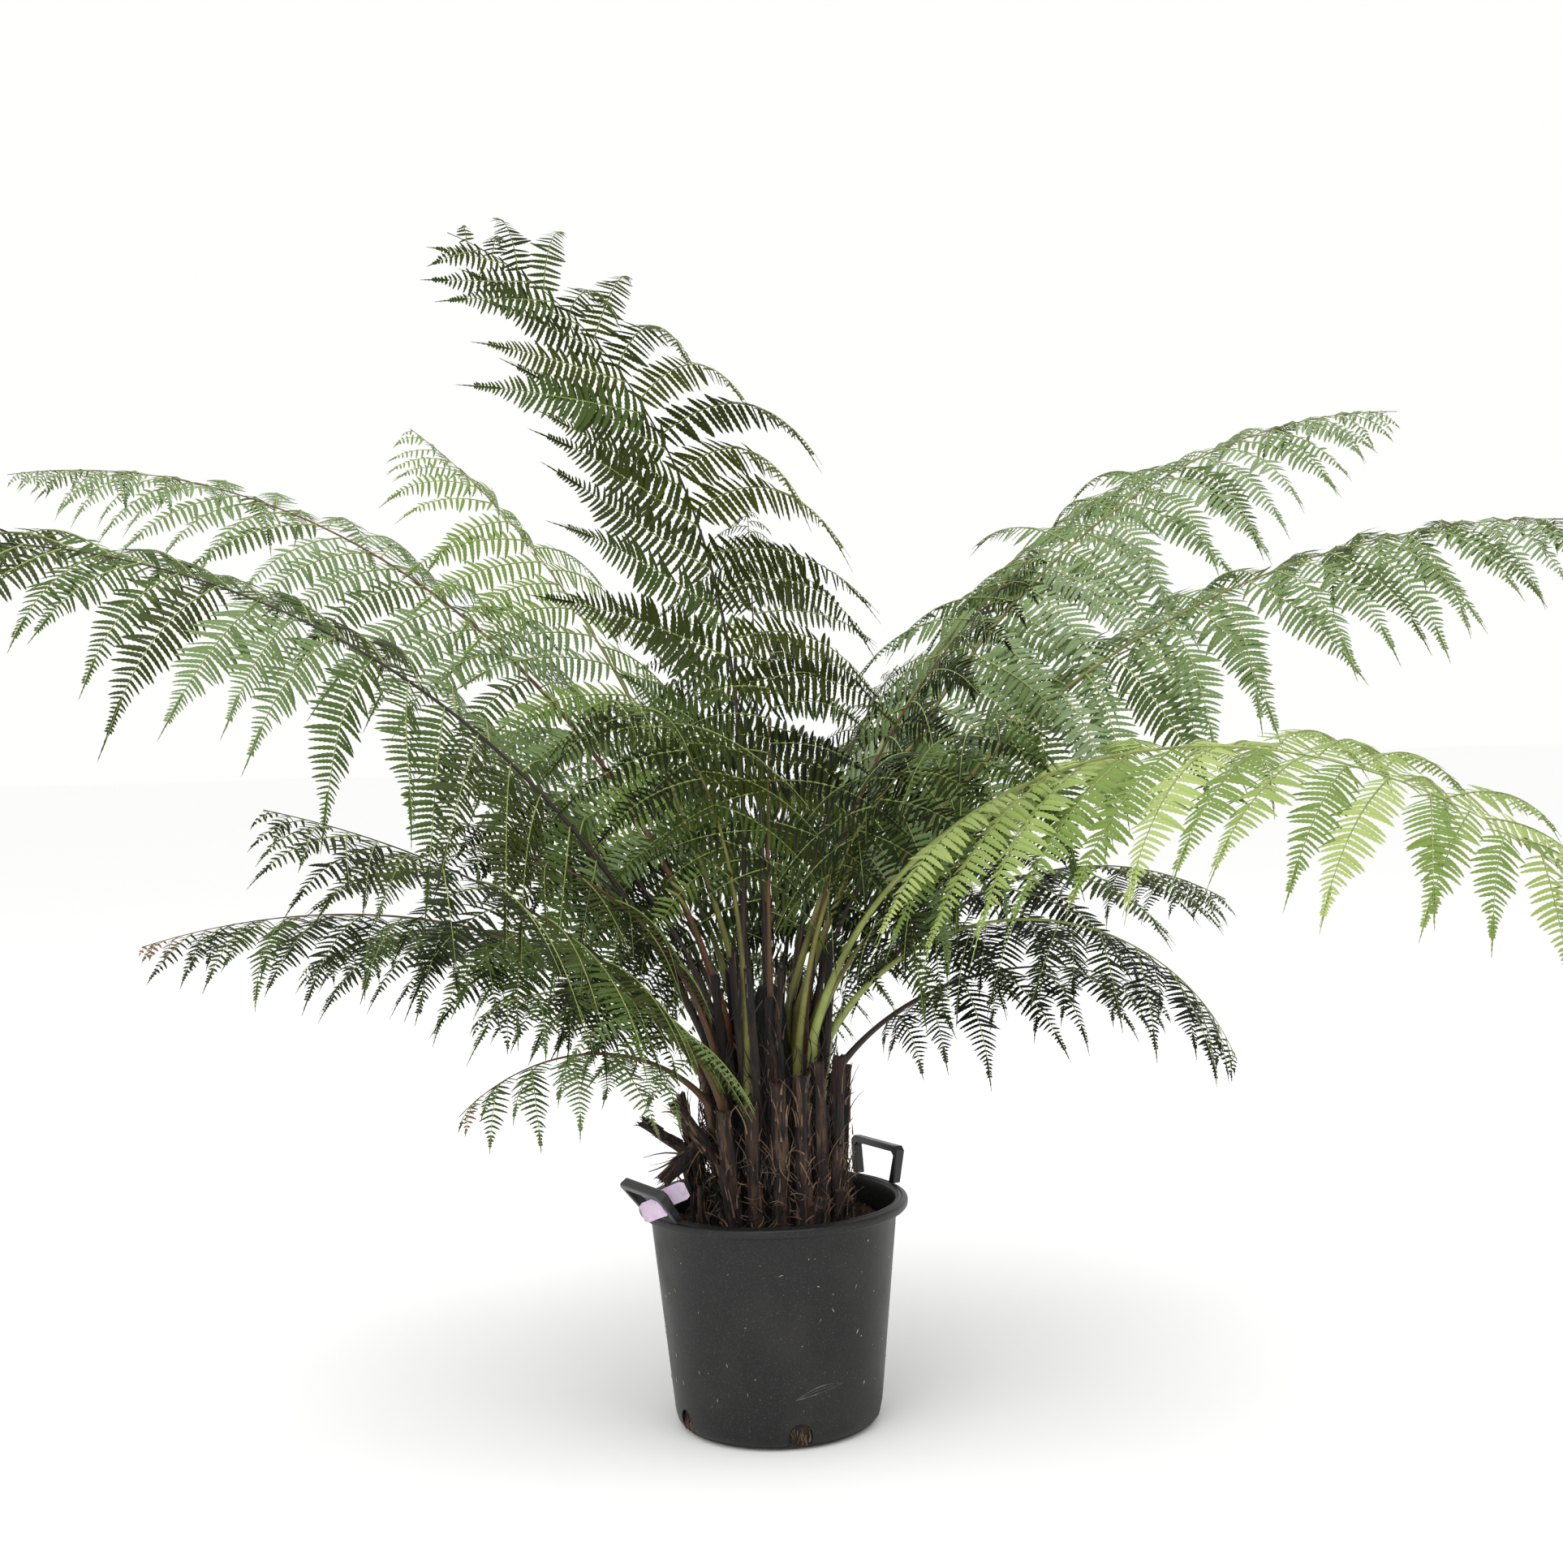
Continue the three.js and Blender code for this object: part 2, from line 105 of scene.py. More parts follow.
@dataclass(frozen=True)
class Wire:
    """One value in a node tree; the arithmetic signs add Math nodes to the tree."""

    board: "Board"
    socket: bpy.types.NodeSocket

    def _maths(self, operation: str, first: Any, second: Any) -> "Wire":
        """A Math node on two values."""
        return self.board.add("ShaderNodeMath", {"operation": operation}, {0: first, 1: second})

    def __add__(self, other: Any) -> "Wire":
        """self + other."""
        return self._maths("ADD", self, other)

    def __mul__(self, other: Any) -> "Wire":
        """self * other."""
        return self._maths("MULTIPLY", self, other)

    def __rsub__(self, other: Any) -> "Wire":
        """other - self."""
        return self._maths("SUBTRACT", other, self)

    __radd__ = __add__


class Board:
    """A node tree and the ways to add nodes to it."""

    def __init__(self, tree: bpy.types.NodeTree) -> None:
        """Keeps the tree."""
        self.tree = tree

    def feed(self, target: bpy.types.NodeSocket, value: Any) -> None:
        """Links a wire to a socket, or sets the socket's own value.

        Args:
            target: the socket to feed.
            value: a wire, or a plain value.
        """
        if isinstance(value, Wire):
            self.tree.links.new(value.socket, target)
        else:
            target.default_value = value

    def add(
        self,
        kind: str,
        settings: Optional[dict[str, Any]] = None,
        sockets: Optional[dict[Union[int, str], Any]] = None,
        out: Union[int, str] = 0,
    ) -> Wire:
        """Adds one node.

        Args:
            kind: the node's type name.
            settings: the node's own settings, set first; "stops" are a ramp's places and colours.
            sockets: the inputs' values or wires, by place or by name; a list feeds a joining socket.
            out: the output to return.

        Returns:
            The chosen output.
        """
        node = self.tree.nodes.new(kind)
        for name, value in (settings or {}).items():
            if name == "stops":
                ramp = node.color_ramp
                while len(ramp.elements) < len(value):
                    ramp.elements.new(0.5)
                for element, (place, colour) in zip(ramp.elements, value):
                    element.position = place
                    element.color = (*colour, 1.0)
            else:
                setattr(node, name, value)
        for name, value in (sockets or {}).items():
            for one in value if isinstance(value, list) else [value]:
                self.feed(node.inputs[name], one)
        return Wire(self, node.outputs[out])


class Shader(Board):
    """A material's tree around one Principled surface."""

    def __init__(self, name: str) -> None:
        """Starts an empty material with its surface."""
        self.material = bpy.data.materials.new(name)
        self.material.use_nodes = True
        super().__init__(self.material.node_tree)
        self.surface = next(n for n in self.tree.nodes if n.type == "BSDF_PRINCIPLED")
        self.place = self.add("ShaderNodeTexCoord", out="Object")

    def grain(self, scale: float, detail: float = 3.0, stretch: Sequence[float] = (1, 1, 1)) -> Wire:
        """Cloudy noise over the piece.

        Args:
            scale: bumps per metre.
            detail: how many finer layers it has.
            stretch: how the pattern is scaled along each axis.

        Returns:
            The noise, about 0.2 to 0.8.
        """
        spot = self.add("ShaderNodeMapping", {}, {"Vector": self.place, "Scale": stretch})
        wanted = {"Vector": spot, "Scale": scale, "Detail": detail}
        return self.add("ShaderNodeTexNoise", {}, wanted)

    def cells(self, scale: float) -> Wire:
        """The distance to scattered points over the piece, scale of them to a metre."""
        return self.add("ShaderNodeTexVoronoi", {}, {"Vector": self.place, "Scale": scale})

    def step(self, value: Wire, low: float, high: float) -> Wire:
        """A clamped ramp of a value from 0 at low to 1 at high."""
        return self.add("ShaderNodeMapRange", {}, {0: value, 1: low, 2: high})

    def blend(self, share: Any, first: Any, second: Any) -> Wire:
        """A colour that share of the way from first to second."""
        shades = [(*c, 1.0) if isinstance(c, tuple) else c for c in (first, second)]
        return self.add("ShaderNodeMix", {"data_type": "RGBA"}, {0: share, 6: shades[0], 7: shades[1]}, 2)

    def bump(self, height: Wire, depth: float, strength: float = 1.0) -> None:
        """Raises the surface's shading by a height of up to depth metres."""
        wanted = {"Height": height, "Distance": depth, "Strength": strength}
        self.feed(self.surface.inputs["Normal"], self.add("ShaderNodeBump", {}, wanted))

    def set(self, **values: Any) -> None:
        """Feeds the surface's sockets, named with _ for a space."""
        for name, value in values.items():
            self.feed(self.surface.inputs[name.replace("_", " ")], value)


@dataclass(frozen=True)
class Finish:
    """What all finishes share: a name, and a material made once."""

    name: str

    def material(self) -> bpy.types.Material:
        """The finish's material."""
        found = bpy.data.materials.get(self.name)
        if found is None:
            shader = Shader(self.name)
            self.paint(shader)
            found = shader.material
        return found

    def paint(self, shader: Shader) -> None:
        """Sets the shader's sockets."""
        raise NotImplementedError


@dataclass(frozen=True)
class LeafGreen(Finish):
    """One plain leaf colour."""

    colour: Colour
    roughness: float = 0.5
    gloss: float = 0.16

    def paint(self, shader: Shader) -> None:
        """A plain colour with a soft gloss."""
        shader.set(
            Base_Color=(*self.colour, 1.0),
            Roughness=self.roughness,
            Specular_IOR_Level=self.gloss,
        )


@dataclass(frozen=True)
class StalkSkin(Finish):
    """A frond's stalk and ribs: one colour that wanders into another in long streaks."""

    colour: Colour
    streak: Colour

    def paint(self, shader: Shader) -> None:
        """Streaks, small dark scale marks and a faint bump."""
        clouds = shader.step(shader.grain(14.0, 4.0), 0.35, 0.65)
        specks = shader.step(shader.grain(420.0, 2.0), 0.58, 0.72)
        base = shader.blend(clouds, self.colour, self.streak)
        dark = tuple(c * 0.35 for c in self.colour)
        shader.set(
            Base_Color=shader.blend(specks * 0.6, base, dark),
            Roughness=shader.grain(60.0) * 0.3 + 0.35,
        )
        shader.bump(specks, 0.0004)


@dataclass(frozen=True)
class PotPlastic(Finish):
    """Black moulded nursery plastic with dust, dried splashes and pale dots."""

    black: Colour
    dust: Colour
    straw: Colour

    def paint(self, shader: Shader) -> None:
        """Layers the dust, the splashes and the dots on the black."""
        haze = shader.step(shader.grain(9.0, 6.0), 0.48, 0.78)
        spatter = shader.step(shader.grain(520.0, 3.0), 0.57, 0.68)
        base = shader.blend(haze * 0.34, self.black, self.dust)
        base = shader.blend(spatter * 0.6, base, self.dust)
        dots = 1.0 - shader.step(shader.cells(85.0), 0.04, 0.07)
        base = shader.blend(dots * 0.3, base, self.straw)
        shader.set(Base_Color=base, Roughness=haze * 0.25 + 0.40, Specular_IOR_Level=0.35)
        shader.bump(shader.grain(420.0, 3.0) + shader.grain(30.0, 2.0), 0.0006, 0.6)


@dataclass(frozen=True)
class GripPlastic(Finish):
    """Black satin plastic with light wear."""

    black: Colour
    wear: Colour

    def paint(self, shader: Shader) -> None:
        """A little grey rubbing on black."""
        rubbed = shader.step(shader.grain(38.0, 5.0), 0.5, 0.8)
        shader.set(Base_Color=shader.blend(rubbed * 0.4, self.black, self.wear))
        shader.set(Roughness=rubbed * 0.25 + 0.3)
        shader.bump(shader.grain(300.0), 0.0003, 0.5)


@dataclass(frozen=True)
class TagCard(Finish):
    """A blank weathered card tag."""

    card: Colour
    grime: Colour

    def paint(self, shader: Shader) -> None:
        """Faint grime on the card."""
        dirt = shader.step(shader.grain(70.0, 5.0), 0.5, 0.75)
        shader.set(Base_Color=shader.blend(dirt * 0.5, self.card, self.grime), Roughness=0.4)


@dataclass(frozen=True)
class Earth(Finish):
    """Dark potting soil with brown and pale bits."""

    dark: Colour
    brown: Colour
    pale: Colour

    def paint(self, shader: Shader) -> None:
        """Mottles the soil and roughens it."""
        clumps = shader.step(shader.grain(60.0, 6.0), 0.35, 0.65)
        bits = shader.step(shader.grain(230.0, 2.0), 0.66, 0.7)
        base = shader.blend(clumps, self.dark, self.brown)
        shader.set(Base_Color=shader.blend(bits * 0.7, base, self.pale), Roughness=0.92)
        shader.bump(shader.grain(150.0, 6.0), 0.006)


@dataclass(frozen=True)
class Bark(Finish):
    """Fibrous stalk bark: long upright strands between dark cracks."""

    dark: Colour
    brown: Colour
    tan: Colour
    tan_share: float = 0.5

    def paint(self, shader: Shader) -> None:
        """Streaks that run up the bark, with a matching bump."""
        strands = shader.grain(130.0, 5.0, (1.0, 1.0, 0.09))
        patches = shader.grain(16.0, 4.0)
        cracks = shader.step(strands, 0.42, 0.56)
        base = shader.blend(cracks, self.dark, self.brown)
        frayed = shader.step(strands + patches, 1.08, 1.24)
        base = shader.blend(frayed * self.tan_share, base, self.tan)
        shader.set(Base_Color=base, Roughness=0.82)
        shader.bump(strands + shader.grain(90.0, 3.0, (1.0, 1.0, 0.3)) * 0.5, 0.004)


@dataclass(frozen=True)
class Chaff(Finish):
    """Dry straw, shredded fibre and old leaf bits."""

    light: Colour
    dark: Colour

    def paint(self, shader: Shader) -> None:
        """Mixes two dry colours from bit to bit."""
        mix = shader.step(shader.grain(45.0, 3.0), 0.35, 0.65)
        shader.set(Base_Color=shader.blend(mix, self.light, self.dark), Roughness=0.75)


class Tone(IntEnum):
    """The leaf colours that sprays are dealt."""

    SAGE = 0
    MID = 1
    OLIVE = 2
    DEEP = 3
    LIME = 4
    PALE = 5
    YELLOW = 6
    DRY = 7
    SHADE = 8
    GREY_SAGE = 9
    MOSS = 10


LEAVES: dict[Tone, LeafGreen] = {
    Tone.SAGE: LeafGreen("leaf_sage", tint(102, 122, 74)),
    Tone.MID: LeafGreen("leaf_mid_green", tint(68, 86, 36)),
    Tone.OLIVE: LeafGreen("leaf_olive", tint(52, 62, 18)),
    # DEEP is a dark leaf green that also serves as painted shade on the crown's inner fronds and the fronds
    # under others
    Tone.DEEP: LeafGreen("leaf_deep_green", tint(32, 42, 14)),
    # LIME is a young frond's light green with painted backlit glow in it
    Tone.LIME: LeafGreen("leaf_lime", tint(134, 152, 82)),
    Tone.PALE: LeafGreen("leaf_pale_green", tint(108, 130, 60)),
    # YELLOW is a young frond's yellow-green with painted backlit glow in it
    Tone.YELLOW: LeafGreen("leaf_yellow_green", tint(152, 168, 98)),
    Tone.DRY: LeafGreen("leaf_dry", tint(122, 88, 62), 0.7, 0.2),
    # SHADE is painted shade: a near-black green dealt to the fronds inside and under the crown
    Tone.SHADE: LeafGreen("leaf_shade_green", tint(17, 23, 9)),
    Tone.GREY_SAGE: LeafGreen("leaf_grey_sage", tint(118, 136, 96)),
    Tone.MOSS: LeafGreen("leaf_moss", tint(70, 78, 20)),
}


class Skin(IntEnum):
    """The stalk colours."""

    BLACK_BROWN = 0
    RED_BROWN = 1
    OLIVE_GREEN = 2
    YELLOW_GREEN = 3
    COSTA = 4


SKINS: dict[Skin, StalkSkin] = {
    Skin.BLACK_BROWN: StalkSkin("stalk_black_brown", tint(30, 22, 17), tint(50, 36, 25)),
    Skin.RED_BROWN: StalkSkin("stalk_red_brown", tint(104, 60, 38), tint(74, 58, 30)),
    Skin.OLIVE_GREEN: StalkSkin("stalk_olive", tint(120, 122, 52), tint(84, 80, 38)),
    Skin.YELLOW_GREEN: StalkSkin("stalk_yellow_green", tint(146, 158, 84), tint(120, 128, 62)),
    Skin.COSTA: StalkSkin("rib_pale_green", tint(150, 162, 88), tint(120, 134, 66)),
}


def mesh_object(
    name: str,
    points: Sequence[Any],
    faces: Sequence[Sequence[int]] = (),
    edges: Sequence[Sequence[int]] = (),
    rounded: bool = True,
) -> bpy.types.Object:
    """A new mesh object at the origin.

    Args:
        name: the object's name.
        points: its vertices, in metres.
        faces: its faces' vertex numbers.
        edges: its loose edges' vertex numbers.
        rounded: whether it is shaded smooth.

    Returns:
        The object, linked to the scene.
    """
    mesh = bpy.data.meshes.new(name)
    mesh.from_pydata([tuple(p) for p in points], [tuple(e) for e in edges], [tuple(f) for f in faces])
    mesh.update()
    if rounded and len(mesh.polygons):
        mesh.shade_smooth()
    made = bpy.data.objects.new(name, mesh)
    bpy.context.scene.collection.objects.link(made)
    return made


def remove(*objects: bpy.types.Object) -> None:
    """Removes helper objects and their meshes."""
    for one in objects:
        mesh = one.data
        bpy.data.objects.remove(one)
        if mesh is not None and mesh.users == 0:
            bpy.data.meshes.remove(mesh)


def join(name: str, pieces: Sequence[bpy.types.Object]) -> bpy.types.Object:
    """Joins mesh objects into the first, and names it."""
    with bpy.context.temp_override(active_object=pieces[0], selected_editable_objects=list(pieces)):
        bpy.ops.object.join()
    pieces[0].name = name
    pieces[0].data.name = name
    return pieces[0]


def face_outwards(thing: bpy.types.Object) -> None:
    """Merges doubles and turns a closed mesh's faces outwards."""
    work = bmesh.new()
    work.from_mesh(thing.data)
    bmesh.ops.remove_doubles(work, verts=work.verts, dist=1e-6)
    bmesh.ops.recalc_face_normals(work, faces=work.faces)
    work.to_mesh(thing.data)
    work.free()


class GeometryTree(Board):
    """A Geometry Nodes tree with named inputs, and the way to run it on a piece."""

    def __init__(self, name: str, inputs: dict[str, tuple[str, Any]]) -> None:
        """Starts the tree.

        Args:
            name: the tree's name.
            inputs: each named input's socket type and value.
        """
        super().__init__(bpy.data.node_groups.new(name, "GeometryNodeTree"))
        face = self.tree.interface
        face.new_socket("Geometry", in_out="INPUT", socket_type="NodeSocketGeometry")
        face.new_socket("Geometry", in_out="OUTPUT", socket_type="NodeSocketGeometry")
        self.values: dict[str, Any] = {}
        for label, (kind, value) in inputs.items():
            socket = face.new_socket(label, in_out="INPUT", socket_type=kind)
            self.values[socket.identifier] = value
        self.entry = self.tree.nodes.new("NodeGroupInput")
        self.start = self.given("Geometry")

    def given(self, label: str) -> Wire:
        """The wire of a named input."""
        return Wire(self, self.entry.outputs[label])

    def stored(self, name: str, kind: str = "FLOAT") -> Wire:
        """The wire of an attribute stored on the geometry."""
        return self.add("GeometryNodeInputNamedAttribute", {"data_type": kind}, {"Name": name})

    def equals(self, name: str, number: int) -> Wire:
        """Whether an attribute stored on the geometry is a number."""
        wanted = {0: self.stored(name), 1: float(number), "Epsilon": SAME_NUMBER}
        return self.add("FunctionNodeCompare", {"operation": "EQUAL"}, wanted)

    def instances(self, shape: Wire, size: Wire, **chosen: Any) -> Wire:
        """A shape on each point, turned by its stored spin.

        Args:
            shape: the geometry to set.
            size: its scale.
            chosen: the Selection, where not every point gets one.

        Returns:
            The instances.
        """
        wanted = {"Points": self.start, **chosen, "Instance": shape, "Scale": size}
        wanted["Rotation"] = self.stored("spin", "FLOAT_VECTOR")
        return self.add("GeometryNodeInstanceOnPoints", {}, wanted)

    def run(self, target: bpy.types.Object, result: Wire) -> None:
        """Ends the tree and replaces the target's mesh by what it makes.

        Args:
            target: the object whose mesh goes in.
            result: the geometry that comes out.
        """
        last = self.tree.nodes.new("NodeGroupOutput")
        self.feed(last.inputs[0], result)
        modifier = target.modifiers.new("shape", "NODES")
        modifier.node_group = self.tree
        for identifier, value in self.values.items():
            modifier[identifier] = value
        graph = bpy.context.evaluated_depsgraph_get()
        made = bpy.data.meshes.new_from_object(
            target.evaluated_get(graph), preserve_all_data_layers=False, depsgraph=graph
        )
        target.modifiers.remove(modifier)
        old, target.data = target.data, made
        made.name = target.name
        bpy.data.meshes.remove(old)
        bpy.data.node_groups.remove(self.tree)


def store(thing: bpy.types.Object, name: str, values: np.ndarray) -> None:
    """Stores numbers on a mesh's points: one, or three, for each."""
    kind, field_name = ("FLOAT_VECTOR", "vector") if values.ndim == 2 else ("FLOAT", "value")
    layer = thing.data.attributes.new(name, kind, "POINT")
    layer.data.foreach_set(field_name, np.ascontiguousarray(values, np.float32).ravel())


def tubes(
    name: str, lines: Sequence[np.ndarray], widths: Sequence[np.ndarray], sides: int
) -> bpy.types.Object:
    """Round closed tubes along lines, made by Geometry Nodes.

    Args:
        name: the object's name.
        lines: each tube's points.
        widths: each tube's radius at those points.
        sides: the sides of a tube.

    Returns:
        One object that holds all the tubes.
    """
    edges, count = [], 0
    for line in lines:
        edges += [(count + i, count + i + 1) for i in range(len(line) - 1)]
        count += len(line)
    made = mesh_object(name, np.concatenate(lines), edges=edges)
    store(made, "thickness", np.concatenate(widths))
    given = {"Sides": ("NodeSocketInt", sides), "Scale": ("NodeSocketFloat", 1.0)}
    tree = GeometryTree("tube_tree", given)
    line = tree.add("GeometryNodeMeshToCurve", {}, {"Mesh": tree.start})
    wanted = {"Resolution": tree.given("Sides"), "Radius": 1.0}
    ring = tree.add("GeometryNodeCurvePrimitiveCircle", {}, wanted)
    thick = tree.stored("thickness") * tree.given("Scale")
    wanted = {"Curve": line, "Profile Curve": ring, "Scale": thick, "Fill Caps": True}
    skin = tree.add("GeometryNodeCurveToMesh", {}, wanted)
    soft = tree.add("GeometryNodeSetShadeSmooth", {}, {"Geometry": skin})
    tree.run(made, tree.add("GeometryNodeRealizeInstances", {}, {"Geometry": soft}))
    return made


def settle(
    thing: bpy.types.Object,
    finish: Optional[Finish] = None,
    nodes: Sequence[str] = (),
) -> None:
    """Fixes a finished piece to the plant, hides the CAD nodes that it stands for and logs it.

    Args:
        thing: the piece.
        finish: the one finish of the whole piece, or None where its faces already have theirs.
        nodes: the CAD nodes that it replaces.
    """
    if finish is not None:
        thing.data.materials.clear()
        thing.data.materials.append(finish.material())
    for name in ("thickness", "spin", "size", "kind", "tone"):
        layer = thing.data.attributes.get(name)
        if layer is not None:
            thing.data.attributes.remove(layer)
    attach(thing, "root")
    if nodes:
        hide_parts(*nodes)
    log.info("%s: %d faces", thing.name, len(thing.data.polygons))


@dataclass
class Bundle:
    """Thin round strands that become one piece."""

    lines: list[np.ndarray] = field(default_factory=list)
    widths: list[np.ndarray] = field(default_factory=list)

    def add(self, line: Any, widths: np.ndarray) -> None:
        """Adds one strand: its points, and its radius at each."""
        self.lines.append(np.array(line))
        self.widths.append(widths)

    def lay(self, name: str, sides: int, slot: str, finish: Finish, nodes: Sequence[str] = ()) -> None:
        """Makes and settles the piece.

        Args:
            name: the piece's name.
            sides: the sides of a strand.
            slot: not used.
            finish: its finish.
            nodes: the CAD nodes that it replaces.
        """
        settle(tubes(name, self.lines, self.widths, sides), finish, nodes)


def ring_faces(first: int, rings: int, sides: int) -> list[tuple[int, ...]]:
    """The faces between closed rings of points, which are numbered ring by ring from first on."""
    faces: list[tuple[int, ...]] = []
    for here in range(first, first + (rings - 1) * sides, sides):
        for j in range(sides):
            after = (j + 1) % sides
            faces.append((here + j, here + after, here + sides + after, here + sides + j))
    return faces


def fan(tip: int, first: int, sides: int) -> list[tuple[int, ...]]:
    """The triangles from a tip to the closed ring of points that starts at first."""
    return [(tip, first + j, first + (j + 1) % sides) for j in range(sides)]


@dataclass
class Camera:
    """Where the plant is looked at from."""

    place: tuple[float, float, float] = (0.05, -3.2, 1.10)
    aim: tuple[float, float, float] = (0.03, 0.0, 0.966)
    lens: float = 48.82
    tip: float = 1.6

    def build(self) -> None:
        """Makes the scene's camera."""
        data = bpy.data.cameras.new("camera")
        data.lens = self.lens
        data.sensor_width = 36.0
        eye = bpy.data.objects.new("camera", data)
        bpy.context.scene.collection.objects.link(eye)
        ahead = unit(np.array(self.aim) - np.array(self.place))
        right = unit(np.cross(ahead, UP))
        above = np.cross(right, ahead)
        turn = math.radians(self.tip)
        across = right * math.cos(turn) - above * math.sin(turn)
        high = above * math.cos(turn) + right * math.sin(turn)
        frame = Matrix((across, high, -ahead)).transposed().to_4x4()
        frame.translation = Vector(self.place)
        eye.matrix_world = frame
        bpy.context.scene.camera = eye
        log.info("camera: %.0f mm lens", self.lens)


@dataclass
class Studio:
    """A pale floor, and soft light from the sky, a wide panel overhead and a weaker one in front."""

    floor_side: float = 60.0
    sky: Colour = (1.0, 1.0, 0.99)
    sky_strength: float = 1.0
    panel_side: float = 4.5
    panel_height: float = 4.6
    panel_power: float = 120.0
    front_share: float = 0.35

    def build(self) -> None:
        """Makes the floor, the sky and the lights."""
        half = self.floor_side / 2
        corners = [(-half, -half, 0), (half, -half, 0), (half, half, 0), (-half, half, 0)]
        floor = mesh_object("floor", corners, [(0, 1, 2, 3)], rounded=False)
        paint = Shader("floor_white")
        paint.set(Base_Color=(0.97, 0.97, 0.97, 1.0), Roughness=0.9, Specular_IOR_Level=0.1)
        floor.data.materials.append(paint.material)
        bpy.context.scene.view_settings.view_transform = "Standard"
        world = bpy.data.worlds.new("sky")
        world.use_nodes = True
        glow = next(n for n in world.node_tree.nodes if n.type == "BACKGROUND")
        glow.inputs["Color"].default_value = (*self.sky, 1.0)
        glow.inputs["Strength"].default_value = self.sky_strength
        bpy.context.scene.world = world
        self.panel("panel_above", (0.3, -1.2, self.panel_height), (0.0, 0.0, 0.8), self.panel_power)
        self.panel("panel_front", (-2.2, -3.8, 2.6), (0.0, 0.0, 0.6), self.panel_power * self.front_share)

    def panel(self, name: str, place: Sequence[float], aim: Sequence[float], power: float) -> None:
        """A soft square light.

        Args:
            name: the light's name.
            place: where it hangs.
            aim: the point it faces.
            power: its watts.
        """
        data = bpy.data.lights.new(name, "AREA")
        data.size = self.panel_side
        data.energy = power
        lamp = bpy.data.objects.new(name, data)
        bpy.context.scene.collection.objects.link(lamp)
        lamp.location = place
        lamp.rotation_euler = (Vector(aim) - Vector(place)).to_track_quat("-Z", "Y").to_euler()


